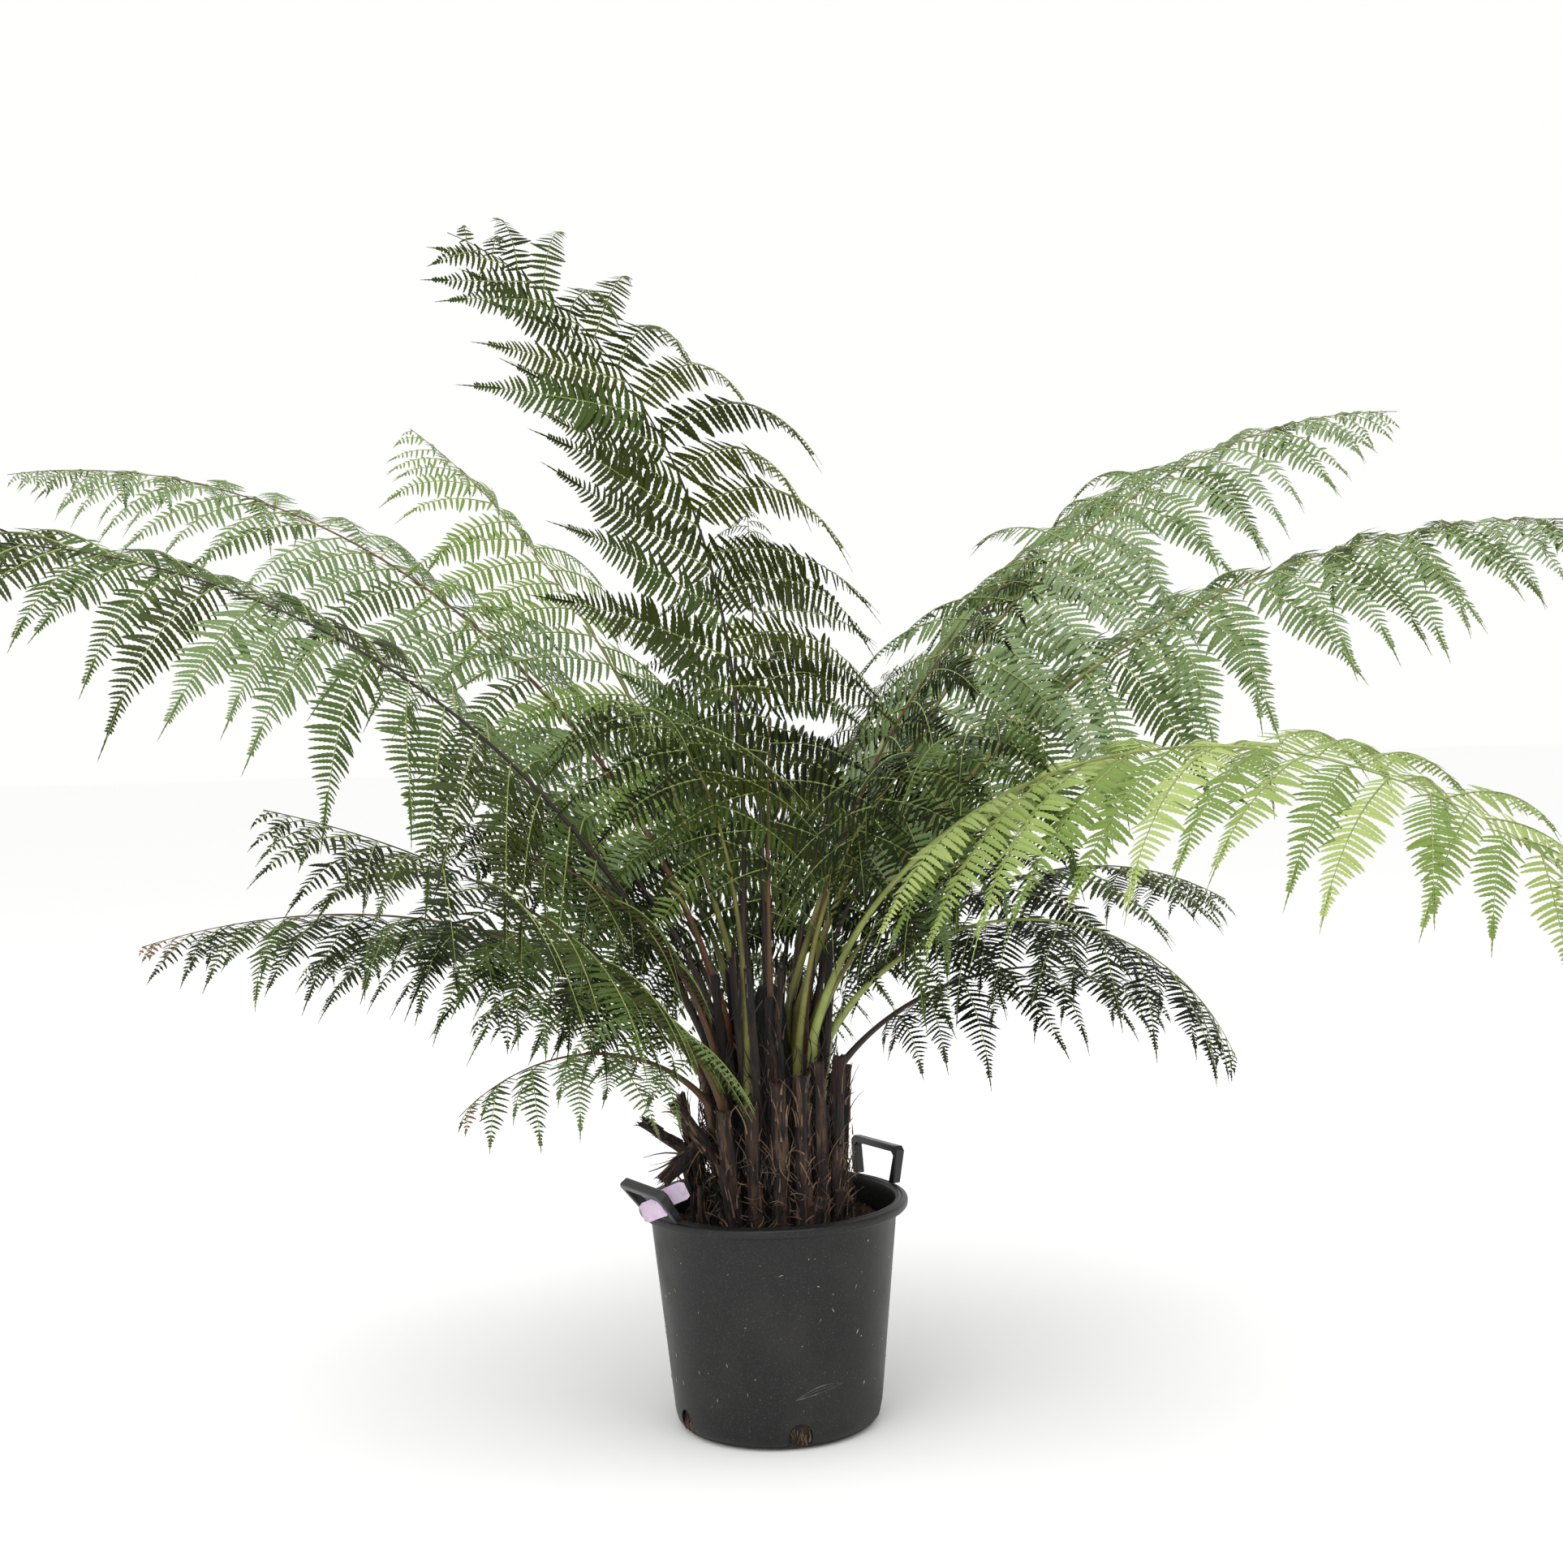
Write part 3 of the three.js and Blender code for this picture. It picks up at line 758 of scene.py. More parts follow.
@dataclass
class Pot:
    """The round black pot: rolled rim, slightly tapered wall and drain notches at its foot."""

    height: float = 0.340
    wall: float = 0.004
    foot_radius: float = 0.155
    top_radius: float = 0.186
    rim_depth: float = 0.026
    sides: int = 180
    drains: int = 5
    drain_width: float = 0.036
    drain_height: float = 0.042
    first_drain: float = -78.0
    flecks: int = 120
    scuff_from: float = -81.0
    scuff_sweep: float = 27.0
    scuff_height: float = 0.078
    seed: int = 3
    finish: PotPlastic = PotPlastic(
        "pot_black_plastic", tint(12, 13, 14), tint(64, 62, 58), tint(176, 160, 124)
    )
    fleck: Chaff = Chaff("pot_straw_flecks", tint(206, 196, 170), tint(120, 106, 84))
    scraped: Chaff = Chaff("pot_scuff_grey", tint(104, 104, 102), tint(40, 40, 40))
    root: Chaff = Chaff("pot_root_tan", tint(104, 82, 62), tint(40, 28, 22))

    def body_radius(self, height: float) -> float:
        """The wall's outer radius at a height."""
        return lerp(self.foot_radius, self.top_radius, height / (self.height - self.rim_depth))

    def outline(self) -> list[tuple[float, float]]:
        """Radius and height of the section, from the middle of the underside to the floor inside."""
        foot = 0.026
        section = [(0.0, 0.0), (0.06, 0.0), (0.125, 0.0), (0.135, 0.0)]
        section += [(0.142, 0.0012), (0.147, 0.004), (0.150, 0.0075)]
        section += [(self.body_radius(0.014) - 0.002, 0.012)]
        section += [(self.body_radius(0.019) - 0.0005, 0.019), (self.body_radius(foot), foot)]
        section += [(self.body_radius(z), z) for z in np.linspace(0.04, 0.320, 16)]
        section += [(0.1885, 0.3225), (0.197, 0.3240), (0.2015, 0.3252)]
        section += [(0.2035, 0.3275), (0.204, 0.3300), (0.204, 0.3345), (0.2030, 0.3370), (0.2005, 0.3385)]
        section += [(0.1960, 0.3392), (0.1945, 0.3380), (0.1925, 0.3385), (0.1905, 0.340), (0.1885, 0.340)]
        section += [(0.1860, 0.3380), (0.185, 0.335), (0.184, 0.325)]
        section += [(self.body_radius(z) - self.wall, z) for z in np.linspace(0.30, 0.03, 12)]
        section += [(0.148, 0.012), (0.140, 0.006), (0.07, 0.006), (0.0, 0.006)]
        return section

    def build(self) -> None:
        """Makes the pot and cuts its drain notches."""
        section = self.outline()
        inner = section[1:-1]
        turns = np.arange(self.sides) * 2 * math.pi / self.sides
        rings = [[(r * math.cos(a), r * math.sin(a), z) for r, z in inner] for a in turns]
        points = [p for ring in rings for p in ring] + [(0, 0, 0), (0, 0, section[-1][1])]
        rows, low = len(inner), self.sides * len(inner)
        faces = []
        for i in range(self.sides):
            here, there = i * rows, (i + 1) % self.sides * rows
            faces += [(here + j, there + j, there + j + 1, here + j + 1) for j in range(rows - 1)]
            faces += [(low, there, here), (low + 1, here + rows - 1, there + rows - 1)]
        pot = mesh_object("pot_shell", points, faces)
        face_outwards(pot)
        cutter = self.notches()
        cut = pot.modifiers.new("drains", "BOOLEAN")
        cut.operation = "DIFFERENCE"
        cut.solver = "EXACT"
        cut.object = cutter
        graph = bpy.context.evaluated_depsgraph_get()
        made = bpy.data.meshes.new_from_object(pot.evaluated_get(graph), depsgraph=graph)
        pot.modifiers.remove(cut)
        old, pot.data = pot.data, made
        bpy.data.meshes.remove(old)
        remove(cutter)
        pot.data.set_sharp_from_angle(angle=math.radians(40))
        settle(pot, self.finish, ["pot"])
        self.build_flecks()
        self.build_roots()

    def on_wall(self, toward: float, height: float, proud: float = 0.0003) -> np.ndarray:
        """A point on the outside of the wall, standing proud of it."""
        return bearing(toward) * (self.body_radius(height) + proud) + UP * height

    def build_flecks(self) -> None:
        """Sticks short straw flecks to the wall and draws the long scuff near its foot."""
        rng = np.random.default_rng(self.seed)
        flecks, scuff = Bundle(), Bundle()
        for _ in range(self.flecks):
            toward, height = 360 * rng.random(), 0.03 + 0.27 * rng.random()
            turn, length = math.pi * rng.random(), 0.002 + 0.008 * rng.random() ** 2
            along = np.linspace(-0.5, 0.5, 3) * length
            spin = np.degrees(along * math.cos(turn) / 0.17)
            rise = along * math.sin(turn)
            line = [self.on_wall(toward + a, height + z) for a, z in zip(spin, rise)]
            flecks.add(line, np.array([0.2, 1.0, 0.3]) * (0.0003 + 0.0006 * rng.random()))
        flecks.lay("pot_flecks", 4, "pot", self.fleck)
        for lift, thick in ((0.0, 0.0007), (0.005, 0.0004), (0.0095, 0.0008)):
            s = np.linspace(0, 1, 16)
            toward = self.scuff_from + self.scuff_sweep * s
            height = self.scuff_height + 0.016 * s + lift * np.sin(math.pi * s)
            line = [self.on_wall(a, z, 0.0001) for a, z in zip(toward, height)]
            scuff.add(line, thick * (0.4 + 0.6 * np.sin(math.pi * s)) * (0.6 + 0.8 * rng.random(16)))
        scuff.lay("pot_scuff", 5, "pot", self.scraped)

    def build_roots(self) -> None:
        """Packs tan roots behind the drain notches."""
        rng = np.random.default_rng(self.seed + 1)
        roots = Bundle()
        for k in range(self.drains):
            middle = self.first_drain + k * 360 / self.drains
            for _ in range(16):
                toward = middle + 11 * (rng.random() - 0.5)
                low, high = 0.008 + 0.012 * rng.random(), 0.020 + 0.018 * rng.random()
                s = np.linspace(0, 1, 7)
                swing = 2.2 * (rng.random() - 0.5) * np.sin(3 * s + 6 * rng.random())
                swing = toward + (swing + 3 * (rng.random() - 0.5) * s)
                out = 0.1495 + 0.004 * rng.random() + 0.0015 * np.sin(5 * s + 6 * rng.random())
                line = [bearing(a) * r + UP * z for a, r, z in zip(swing, out, lerp(low, high, s))]
                roots.add(line, (0.0006 + 0.0011 * rng.random()) * (1 - 0.6 * s))
        roots.lay("pot_roots", 5, "soil", self.root)

    def notches(self) -> bpy.types.Object:
        """The round-topped blocks that cut the drain notches."""
        points, faces = [], []
        half = self.drain_width / 2
        spring, sill = self.drain_height - half, 0.0065
        turns = np.linspace(0, math.pi, 9)
        arch = [(half * math.cos(a), spring + half * math.sin(a)) for a in turns]
        shape = [(half, sill)] + arch + [(-half, sill)]
        for k in range(self.drains):
            out = bearing(self.first_drain + k * 360 / self.drains)
            flat = np.array([-out[1], out[0], 0.0])
            base = len(points)
            for reach in (0.130, 0.175):
                points += [out * reach + flat * x + UP * z for x, z in shape]
            count = len(shape)
            faces.append([base + i for i in range(count)])
            faces.append([base + count + i for i in reversed(range(count))])
            for i in range(count):
                nxt = (i + 1) % count
                faces.append([base + i, base + count + i, base + count + nxt, base + nxt])
        cutter = mesh_object("notch_cutter", points, faces, rounded=False)
        face_outwards(cutter)
        return cutter


@dataclass
class Grip:
    """A bar handle that stands on the pot's rim: two splayed legs and a level bar."""

    name: str
    toward: float
    lean: float
    width: float = 0.122
    rise: float = 0.058
    bar: float = 0.015
    strap: float = 0.0095
    splay: float = 0.008
    stand_radius: float = 0.194
    rim: float = 0.3403
    finish: GripPlastic = GripPlastic("grip_black_plastic", tint(15, 15, 16), tint(70, 71, 74))

    def build(self) -> None:
        """Sweeps a flat strap with small chamfers up one leg, across and down the other."""
        side, high = bearing(self.toward + 90), leaning(self.toward, self.lean)
        through = np.cross(side, high)
        foot = bearing(self.toward) * self.stand_radius + UP * self.rim
        half, thick, strap, top = self.width / 2, self.strap / 2, self.strap, self.rise
        outer = [(-half + self.splay, 0.0), (-half, top - 0.006), (-half + 0.006, top)]
        outer += [(-x, z) for x, z in outer[::-1]]
        inner = [(-half + self.splay + 1.25 * strap, 0.0), (-half + 1.1 * strap, top - 1.7 * strap)]
        inner += [(-half + 1.7 * strap, top - 1.1 * strap)]
        inner += [(-x, z) for x, z in inner[::-1]]
        points, chamfer = [], 0.0012
        for (a, b), (c, d) in zip(outer, inner):
            out, into = np.array((a, b)), np.array((c, d))
            step = unit(into - out) * chamfer
            flat = thick - chamfer
            rim = [(out + step, -thick), (out, -flat), (out, flat), (out + step, thick)]
            rim += [(into - step, thick), (into, flat), (into, -flat), (into - step, -thick)]
            for (x, z), y in rim:
                spot = foot + side * x + high * z + through * (y * self.bar / self.strap)
                points.append(np.array([spot[0], spot[1], max(spot[2], self.rim)]))
        sides = len(rim)
        faces = ring_faces(0, len(outer), sides)
        last = (len(outer) - 1) * sides
        faces += [tuple(range(sides)), tuple(last + k for k in range(sides))[::-1]]
        grip = mesh_object(f"{self.name}_bar", points, faces, rounded=False)
        face_outwards(grip)
        settle(grip, self.finish, [self.name])


@dataclass
class Soil:
    """The soil's low mound, with crumbs and dry bits strewn on it."""

    top: float = 0.3035
    radius: float = 0.180
    crumbs: int = 1500
    seed: int = 7
    earth: Earth = Earth("soil_earth", tint(24, 18, 14), tint(52, 38, 28), tint(120, 96, 66))
    crumb: Earth = Earth("soil_crumbs", tint(30, 22, 16), tint(70, 50, 34), tint(132, 108, 76))

    def build(self) -> None:
        """Makes the soil's body and the crumbs on it."""
        low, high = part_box("soil")
        rings, sides = 36, 96
        points = [(0.0, 0.0, self.height(0.0, 0.0))]
        for i in range(1, rings + 1):
            r = self.radius * i / rings
            for j in range(sides):
                x, y = r * math.cos(2 * math.pi * j / sides), r * math.sin(2 * math.pi * j / sides)
                points.append((x, y, self.height(x, y)))
        last = len(points) - sides
        foot_radius = min(high.x - 0.012, 0.150)
        for j in range(sides):
            x, y, _ = points[last + j]
            points.append((x * foot_radius / self.radius, y * foot_radius / self.radius, low.z))
        points.append((0.0, 0.0, low.z))
        faces = fan(0, 1, sides)
        faces += [face[:1] + face[:0:-1] for face in ring_faces(1, rings + 1, sides)]
        faces += [face[::-1] for face in fan(len(points) - 1, 1 + rings * sides, sides)]
        body = mesh_object("soil_body", points, faces)
        face_outwards(body)
        settle(body, self.earth, ["soil"])
        self.strew()

    def height(self, x: float, y: float) -> float:
        """The soil's surface height, lower and lumpy near the wall."""
        out = math.hypot(x, y) / self.radius
        lumps = noise.fractal(Vector((x * 28, y * 28, 0.3)), 1.0, 2.0, 4) * 0.0055
        return self.top - 0.006 + lumps - 0.010 * smooth(0.82, 1.0, out)

    def strew(self) -> None:
        """Scatters small faceted crumbs with Geometry Nodes."""
        rng = np.random.default_rng(self.seed)
        out = 0.095 + (self.radius - 0.103) * rng.random(self.crumbs) ** 0.7
        turn = rng.random(self.crumbs) * 2 * math.pi
        spots = [(r * math.cos(a), r * math.sin(a)) for r, a in zip(out, turn)]
        crumbs = mesh_object("soil_crumbs", [(x, y, self.height(x, y) + 0.001) for x, y in spots])
        store(crumbs, "spin", rng.random((self.crumbs, 3)) * ABOUT_A_TURN)
        sizes = (0.0022 + 0.0075 * rng.random(self.crumbs) ** 3)[:, None]
        store(crumbs, "size", sizes * (0.5 + rng.random((self.crumbs, 3))))
        given = {"Roundness": ("NodeSocketInt", 1), "Scale": ("NodeSocketFloat", 1.0)}
        tree = GeometryTree("crumb_tree", given)
        wanted = {"Radius": tree.given("Scale"), "Subdivisions": tree.given("Roundness")}
        ball = tree.add("GeometryNodeMeshIcoSphere", {}, wanted)
        spread = tree.instances(ball, tree.stored("size", "FLOAT_VECTOR"))
        real = tree.add("GeometryNodeRealizeInstances", {}, {"Geometry": spread})
        wanted = {"Geometry": real, "Material": self.crumb.material()}
        tree.run(crumbs, tree.add("GeometryNodeSetMaterial", {}, wanted))
        settle(crumbs)


@dataclass
class Stub:
    """One old leaf stalk, cut off above the trunk."""

    name: str
    toward: float
    lean: float
    foot: float
    length: float
    radius: float = 0.0142
    top_radius: float = 0.0118
    ring: float = 0.102
    shreds: int = 26
    flatness: float = 0.85
    sides: int = 28
    levels: int = 34

    def line(self, share: np.ndarray) -> np.ndarray:
        """Points along the stub's middle, 0 at the foot and 1 at the cut."""
        way = leaning(self.toward, self.lean)
        start = bearing(self.toward) * self.ring + UP * self.foot
        return start + way * (share * self.length)[:, None]

    def body(self, rng: np.random.Generator) -> bpy.types.Object:
        """A ribbed, slightly bent stalk with a ragged cut.

        Args:
            rng: the seeded source of its irregularity.

        Returns:
            The stub's mesh.
        """
        shares = np.linspace(0, 1, self.levels)
        way = leaning(self.toward, self.lean)
        side = bearing(self.toward + 90)
        out = np.cross(side, way)
        middle = self.line(shares)
        phase = rng.random(4) * ABOUT_A_TURN
        bend = (rng.random(2) - 0.5) * 0.006
        points = []
        for i, share in enumerate(shares):
            size = lerp(self.radius, self.top_radius, share) * (1 + 0.05 * math.sin(9 * share + phase[0]))
            shift = side * bend[0] * math.sin(math.pi * share) + out * bend[1] * math.sin(math.pi * share)
            for j in range(self.sides):
                turn = 2 * math.pi * j / self.sides
                groove = 0.09 * math.sin(5 * turn + phase[1] + 1.2 * share)
                groove = groove + 0.06 * math.sin(11 * turn + phase[2])
                spot = Vector((math.cos(turn) * 3 + phase[3], math.sin(turn) * 3, share * self.length * 45))
                rough = 0.16 * noise.noise(spot)
                reach = size * (0.93 + groove + rough)
                ragged = way * (0.007 * noise.noise(spot * 3) if i == self.levels - 1 else 0.0)
                wide, deep = side * reach * math.cos(turn), out * reach * math.sin(turn) * self.flatness
                points.append(middle[i] + shift + wide + deep + ragged)
        top = len(points)
        points += [middle[-1] - way * 0.004, middle[0]]
        faces = ring_faces(0, self.levels, self.sides) + fan(top, top - self.sides, self.sides)
        faces += [face[::-1] for face in fan(top + 1, 0, self.sides)]
        made = mesh_object(self.name, points, faces)
        face_outwards(made)
        made.data.set_sharp_from_angle(angle=math.radians(50))
        return made

    def fibres(self, rng: np.random.Generator, bundle: Bundle) -> None:
        """Adds the shreds that peel off the stub's side and stand up from its cut.

        Args:
            rng: the seeded source of their places.
            bundle: what they are added to.
        """
        way = leaning(self.toward, self.lean)
        side = bearing(self.toward + 90)
        out = np.cross(side, way)
        for _ in range(self.shreds):
            share = 0.15 + 0.8 * rng.random()
            turn = rng.random() * 2 * math.pi
            around = side * math.cos(turn) + out * math.sin(turn) * self.flatness
            size = lerp(self.radius, self.top_radius, share)
            start = self.line(np.array([share]))[0] + around * size * 0.9
            length = 0.018 + 0.05 * rng.random() ** 2
            length = min(length, (1.0 - share) * self.length + 0.006)
            curl = (0.05 + 0.9 * rng.random() ** 2) * (1 if rng.random() < 0.8 else -0.3)
            steps = np.linspace(0, 1, 6)[:, None]
            path = start + way * steps * length + around * curl * length * steps**2
            path = path + side * (rng.random() - 0.5) * 0.35 * length * steps**1.5
            bundle.add(path, (0.0011 + 0.0016 * rng.random() ** 2) * (1.0 - 0.75 * steps[:, 0]))


@dataclass
class Trunk:
    """The short fibrous trunk inside its ring of cut stubs.

    levels holds heights with the trunk's radius there. stubs holds each stub's bearing, its lean in
    degrees, the height of its foot and its length.
    """

    levels: tuple[tuple[float, float], ...] = (
        (0.304, 0.112),
        (0.345, 0.098),
        (0.400, 0.091),
        (0.470, 0.088),
        (0.530, 0.084),
        (0.580, 0.074),
        (0.625, 0.056),
        (0.662, 0.030),
    )
    stubs: tuple[tuple[float, float, float, float], ...] = (
        (338, 1, 0.308, 0.252),
        (316, 0, 0.308, 0.248),
        (296, 0, 0.308, 0.232),
        (277, 2, 0.308, 0.224),
        (258, 6, 0.308, 0.192),
        (238, 9, 0.308, 0.188),
        (218, 34, 0.405, 0.128),
        (203, 128, 0.446, 0.098),
        (188, 54, 0.398, 0.116),
        (166, 12, 0.308, 0.190),
        (140, 6, 0.308, 0.205),
        (114, 4, 0.308, 0.180),
        (88, 8, 0.308, 0.215),
        (60, 5, 0.308, 0.185),
        (34, 9, 0.308, 0.220),
        (8, 5, 0.308, 0.190),
    )
    sides: int = 128
    rows: int = 90
    strands: int = 700
    curls: int = 300
    short_stubs: int = 20
    stalk_bases: int = 26
    lowest_strand: float = 0.302
    lowest_curl: float = 0.3045
    seed: int = 21
    # The trunk's and the stalk bases' near-black colours are partly the fibres' own dark brown and partly
    # painted shade of the crown's inside
    bark: Bark = Bark("trunk_bark", tint(6, 5, 4), tint(15, 11, 9), tint(44, 33, 25), 0.15)
    stub_bark: Bark = Bark("stub_bark", tint(8, 6, 5), tint(46, 25, 19), tint(122, 94, 70), 0.36)
    dark_bark: Bark = Bark("stalk_base_bark", tint(10, 8, 7), tint(34, 24, 18), tint(72, 54, 38), 0.3)
    shred: Chaff = Chaff("stub_shreds", tint(130, 104, 82), tint(22, 15, 12))
    strand: Chaff = Chaff("trunk_strands", tint(44, 30, 22), tint(18, 12, 10))

    def radius(self, height: float) -> float:
        """The trunk's mean radius at a height."""
        return float(np.interp(height, [z for z, _ in self.levels], [r for _, r in self.levels]))

    def build(self) -> None:
        """Makes the trunk, its stubs and their fibres."""
        rng = np.random.default_rng(self.seed)
        bottom, top = self.levels[0][0] + 0.0005, self.levels[-1][0]
        points = [(0.0, 0.0, bottom)]
        for i in range(self.rows):
            z = lerp(bottom, top, i / (self.rows - 1))
            for j in range(self.sides):
                turn = 2 * math.pi * j / self.sides
                spot = Vector((math.cos(turn) * 5, math.sin(turn) * 5, z * 16))
                ridge = abs(noise.noise(spot)) * 0.20 + noise.noise(spot * 4) * 0.06
                r = self.radius(z) * (0.80 - 0.46 * smooth(0.42, 0.58, z) + ridge)
                points.append((r * math.cos(turn), r * math.sin(turn), z))
        points.append((0.0, 0.0, top + 0.002))
        faces = [face[::-1] for face in fan(0, 1, self.sides)]
        faces += ring_faces(1, self.rows, self.sides)
        faces += fan(len(points) - 1, 1 + (self.rows - 1) * self.sides, self.sides)
        trunk = mesh_object("trunk_core", points, faces)
        face_outwards(trunk)
        settle(trunk, self.bark, ["trunk"])
        self.build_stubs(rng)
        self.build_strands(rng)

    def build_stubs(self, rng: np.random.Generator) -> None:
        """Makes every stub and joins their shreds."""
        shreds = Bundle()
        for number, (toward, lean, foot, length) in enumerate(self.stubs, 1):
            thick = 0.74 + 0.34 * rng.random()
            turned = lean + 5 * (rng.random() - 0.3)
            node = f"stub_{number:02d}"
            radii = Stub.radius * thick, Stub.top_radius * thick
            stub = Stub(f"{node}_bark", toward, turned, foot, length, *radii)
            settle(stub.body(rng), self.stub_bark, [node])
            stub.fibres(rng, shreds)
        for name, count, stubs, bark in (
            ("stub_short_bark", self.short_stubs, self.short_stub, self.stub_bark),
            ("stalk_base_bark", self.stalk_bases, self.stalk_base, self.dark_bark),
        ):
            bodies = []
            for _ in range(count):
                stub = stubs(rng)
                bodies.append(stub.body(rng))
                stub.fibres(rng, shreds)
            settle(join(name, bodies), bark)
        shreds.lay("stub_shreds", 4, "stub", self.shred)

    @staticmethod
    def short_stub(rng: np.random.Generator) -> Stub:
        """A short torn stub in front of the main ring."""
        thick = 0.0075 + 0.0055 * rng.random()
        length = 0.045 + 0.10 * rng.random() ** 1.5
        place = 0.106 + 0.014 * rng.random()
        lean = 2 + 14 * rng.random() ** 2
        toward, radii = 360 * rng.random(), (thick, thick * 0.8)
        return Stub("short", toward, lean, 0.298, length, *radii, place, 9, levels=20, sides=18)

    @staticmethod
    def stalk_base(rng: np.random.Generator) -> Stub:
        """A slim dark stalk base that stands inside the ring."""
        thick = 0.0055 + 0.004 * rng.random()
        length = 0.12 + 0.16 * rng.random()
        place = 0.040 + 0.045 * rng.random()
        toward, lean, radii = 360 * rng.random(), 2 + 10 * rng.random(), (thick, thick * 0.8)
        return Stub("base", toward, lean, 0.46, length, *radii, place, 7, levels=20, sides=14)

    def build_strands(self, rng: np.random.Generator) -> None:
        """Makes the dark matted strands between the stubs."""
        bundle = Bundle()
        for _ in range(self.strands):
            z = 0.31 + 0.24 * rng.random()
            turn = rng.random() * 360
            start = bearing(turn) * (self.radius(z) * 0.98) + UP * z
            length = 0.03 + 0.06 * rng.random()
            steps = np.linspace(0, 1, 6)[:, None]
            out, flat = bearing(turn), bearing(turn + 90)
            rise = 1.0 if rng.random() < 0.75 else -0.6
            path = start + UP * rise * steps * length + out * 0.022 * np.sin(steps * 2.6)
            path = path + flat * (rng.random() - 0.5) * 0.05 * steps
            path[:, 2] = np.maximum(path[:, 2], self.lowest_strand)
            bundle.add(path, 0.0012 * (1.1 - 0.8 * steps[:, 0]))
        bundle.lay("trunk_strands", 3, "trunk", self.strand)
        self.build_litter(rng)

    def build_litter(self, rng: np.random.Generator) -> None:
        """Tangles short pale curls of torn fibre over the lower stubs."""
        bundle = Bundle()
        for _ in range(self.curls):
            turn, height = rng.random() * 360, 0.306 + 0.125 * rng.random() ** 1.3
            start = bearing(turn) * (0.108 + 0.020 * rng.random()) + UP * height
            heading, length = 2 * math.pi * rng.random(), 0.012 + 0.034 * rng.random() ** 1.6
            hook = 3 * (rng.random() - 0.5)
            path = [start]
            for step in range(7):
                angle = heading + hook * step / 7
                way = bearing(turn + 90) * math.cos(angle) + UP * math.sin(angle)
                path.append(path[-1] + (way + bearing(turn) * 0.5 * (rng.random() - 0.4)) * length / 7)
            path = np.array(path)
            path[:, 2] = np.maximum(path[:, 2], self.lowest_curl)
            thinning = 1 - 0.6 * np.linspace(0, 1, len(path))
            bundle.add(path, (0.0006 + 0.0012 * rng.random() ** 2) * thinning)
        bundle.lay("trunk_litter", 4, "trunk", self.shred)


LARGE_LEAFLET = 0.024
SMALL_LEAFLET = 0.012  # shorter ones are its fifth, and the others its third and fourth
TAIL_LEAFLET = 5.0


@dataclass(frozen=True)
class LeafletShape:
    """The outline of one leaflet, folded along its middle and drooping to its tip."""

    lobes: int
    notch: float
    fold: float = 0.34
    droop: float = 0.16
    sickle: float = 0.07
    taper: float = 2.6
    hand: int = 1

    def half_width(self, share: float) -> float:
        """Half the leaflet's width at a share of its length."""
        return 0.5 * (1.0 - share**self.taper) ** 0.7 * (0.86 + 0.14 * smooth(0.0, 0.15, share))

    def build(self, name: str) -> bpy.types.Object:
        """Makes the leaflet one metre long and one wide, to be scaled.

        Args:
            name: the object's name.

        Returns:
            The leaflet, lying along +Y with its upper face up.
        """
        edge = [(0.0, 0.35 * self.half_width(0.0))]
        for i in range(self.lobes):
            middle = (i + 0.62) / (self.lobes + 0.35)
            dip = (i + 1.0) / (self.lobes + 0.35)
            edge.append((middle, self.half_width(middle)))
            edge.append((dip, self.half_width(dip) * (1 - self.notch)))
        midrib = [0.0, 0.5, 1.0] if self.lobes > 1 else [0.0, 1.0]
        points = [self.bent(s, 0.0) for s in midrib]
        faces = []
        for side in (1, -1):
            first = len(points)
            points += [self.bent(s, side * w) for s, w in edge]
            spine = 0
            for i in range(len(edge) - 1):
                if spine + 2 < len(midrib) and edge[i][0] >= midrib[spine + 1] - 0.12:
                    faces.append((spine, first + i, spine + 1))
                    spine += 1
                faces.append((spine, first + i, first + i + 1))
            faces.append((spine, first + len(edge) - 1, len(midrib) - 1))
            if spine + 2 < len(midrib):
                raise ValueError("the leaflet's middle has no edge beside it")
        wanted = [face if self.faces_up(points, face) else face[::-1] for face in faces]
        return mesh_object(name, points, wanted, rounded=False)

    def bent(self, share: float, across: float) -> tuple[float, float, float]:
        """A point of the flat outline, sickled, folded and drooped."""
        x = across + self.hand * self.sickle * 5.0 * share * share
        z = -self.fold * abs(across) * 0.22 - self.droop * share * share
        return x, share, z

    @staticmethod
    def faces_up(points: Sequence[Sequence[float]], face: Sequence[int]) -> bool:
        """Whether a face's order makes it look up."""
        a, b, c = (Vector(points[i]) for i in face)
        return (b - a).cross(c - a).z > 0


@dataclass
class Branch:
    """One side branch: its rib's points, its directions and across directions there, and its side."""

    points: np.ndarray
    ways: np.ndarray
    across: np.ndarray
    hand: int

    @property
    def length(self) -> float:
        """The rib's length."""
        return float(np.linalg.norm(np.diff(self.points, axis=0), axis=1).sum())


def mix(**weights: float) -> tuple[tuple[Tone, float], ...]:
    """Leaf colours by the names of their tones, with each one's share of the branches."""
    return tuple((Tone[name.upper()], weight) for name, weight in weights.items())


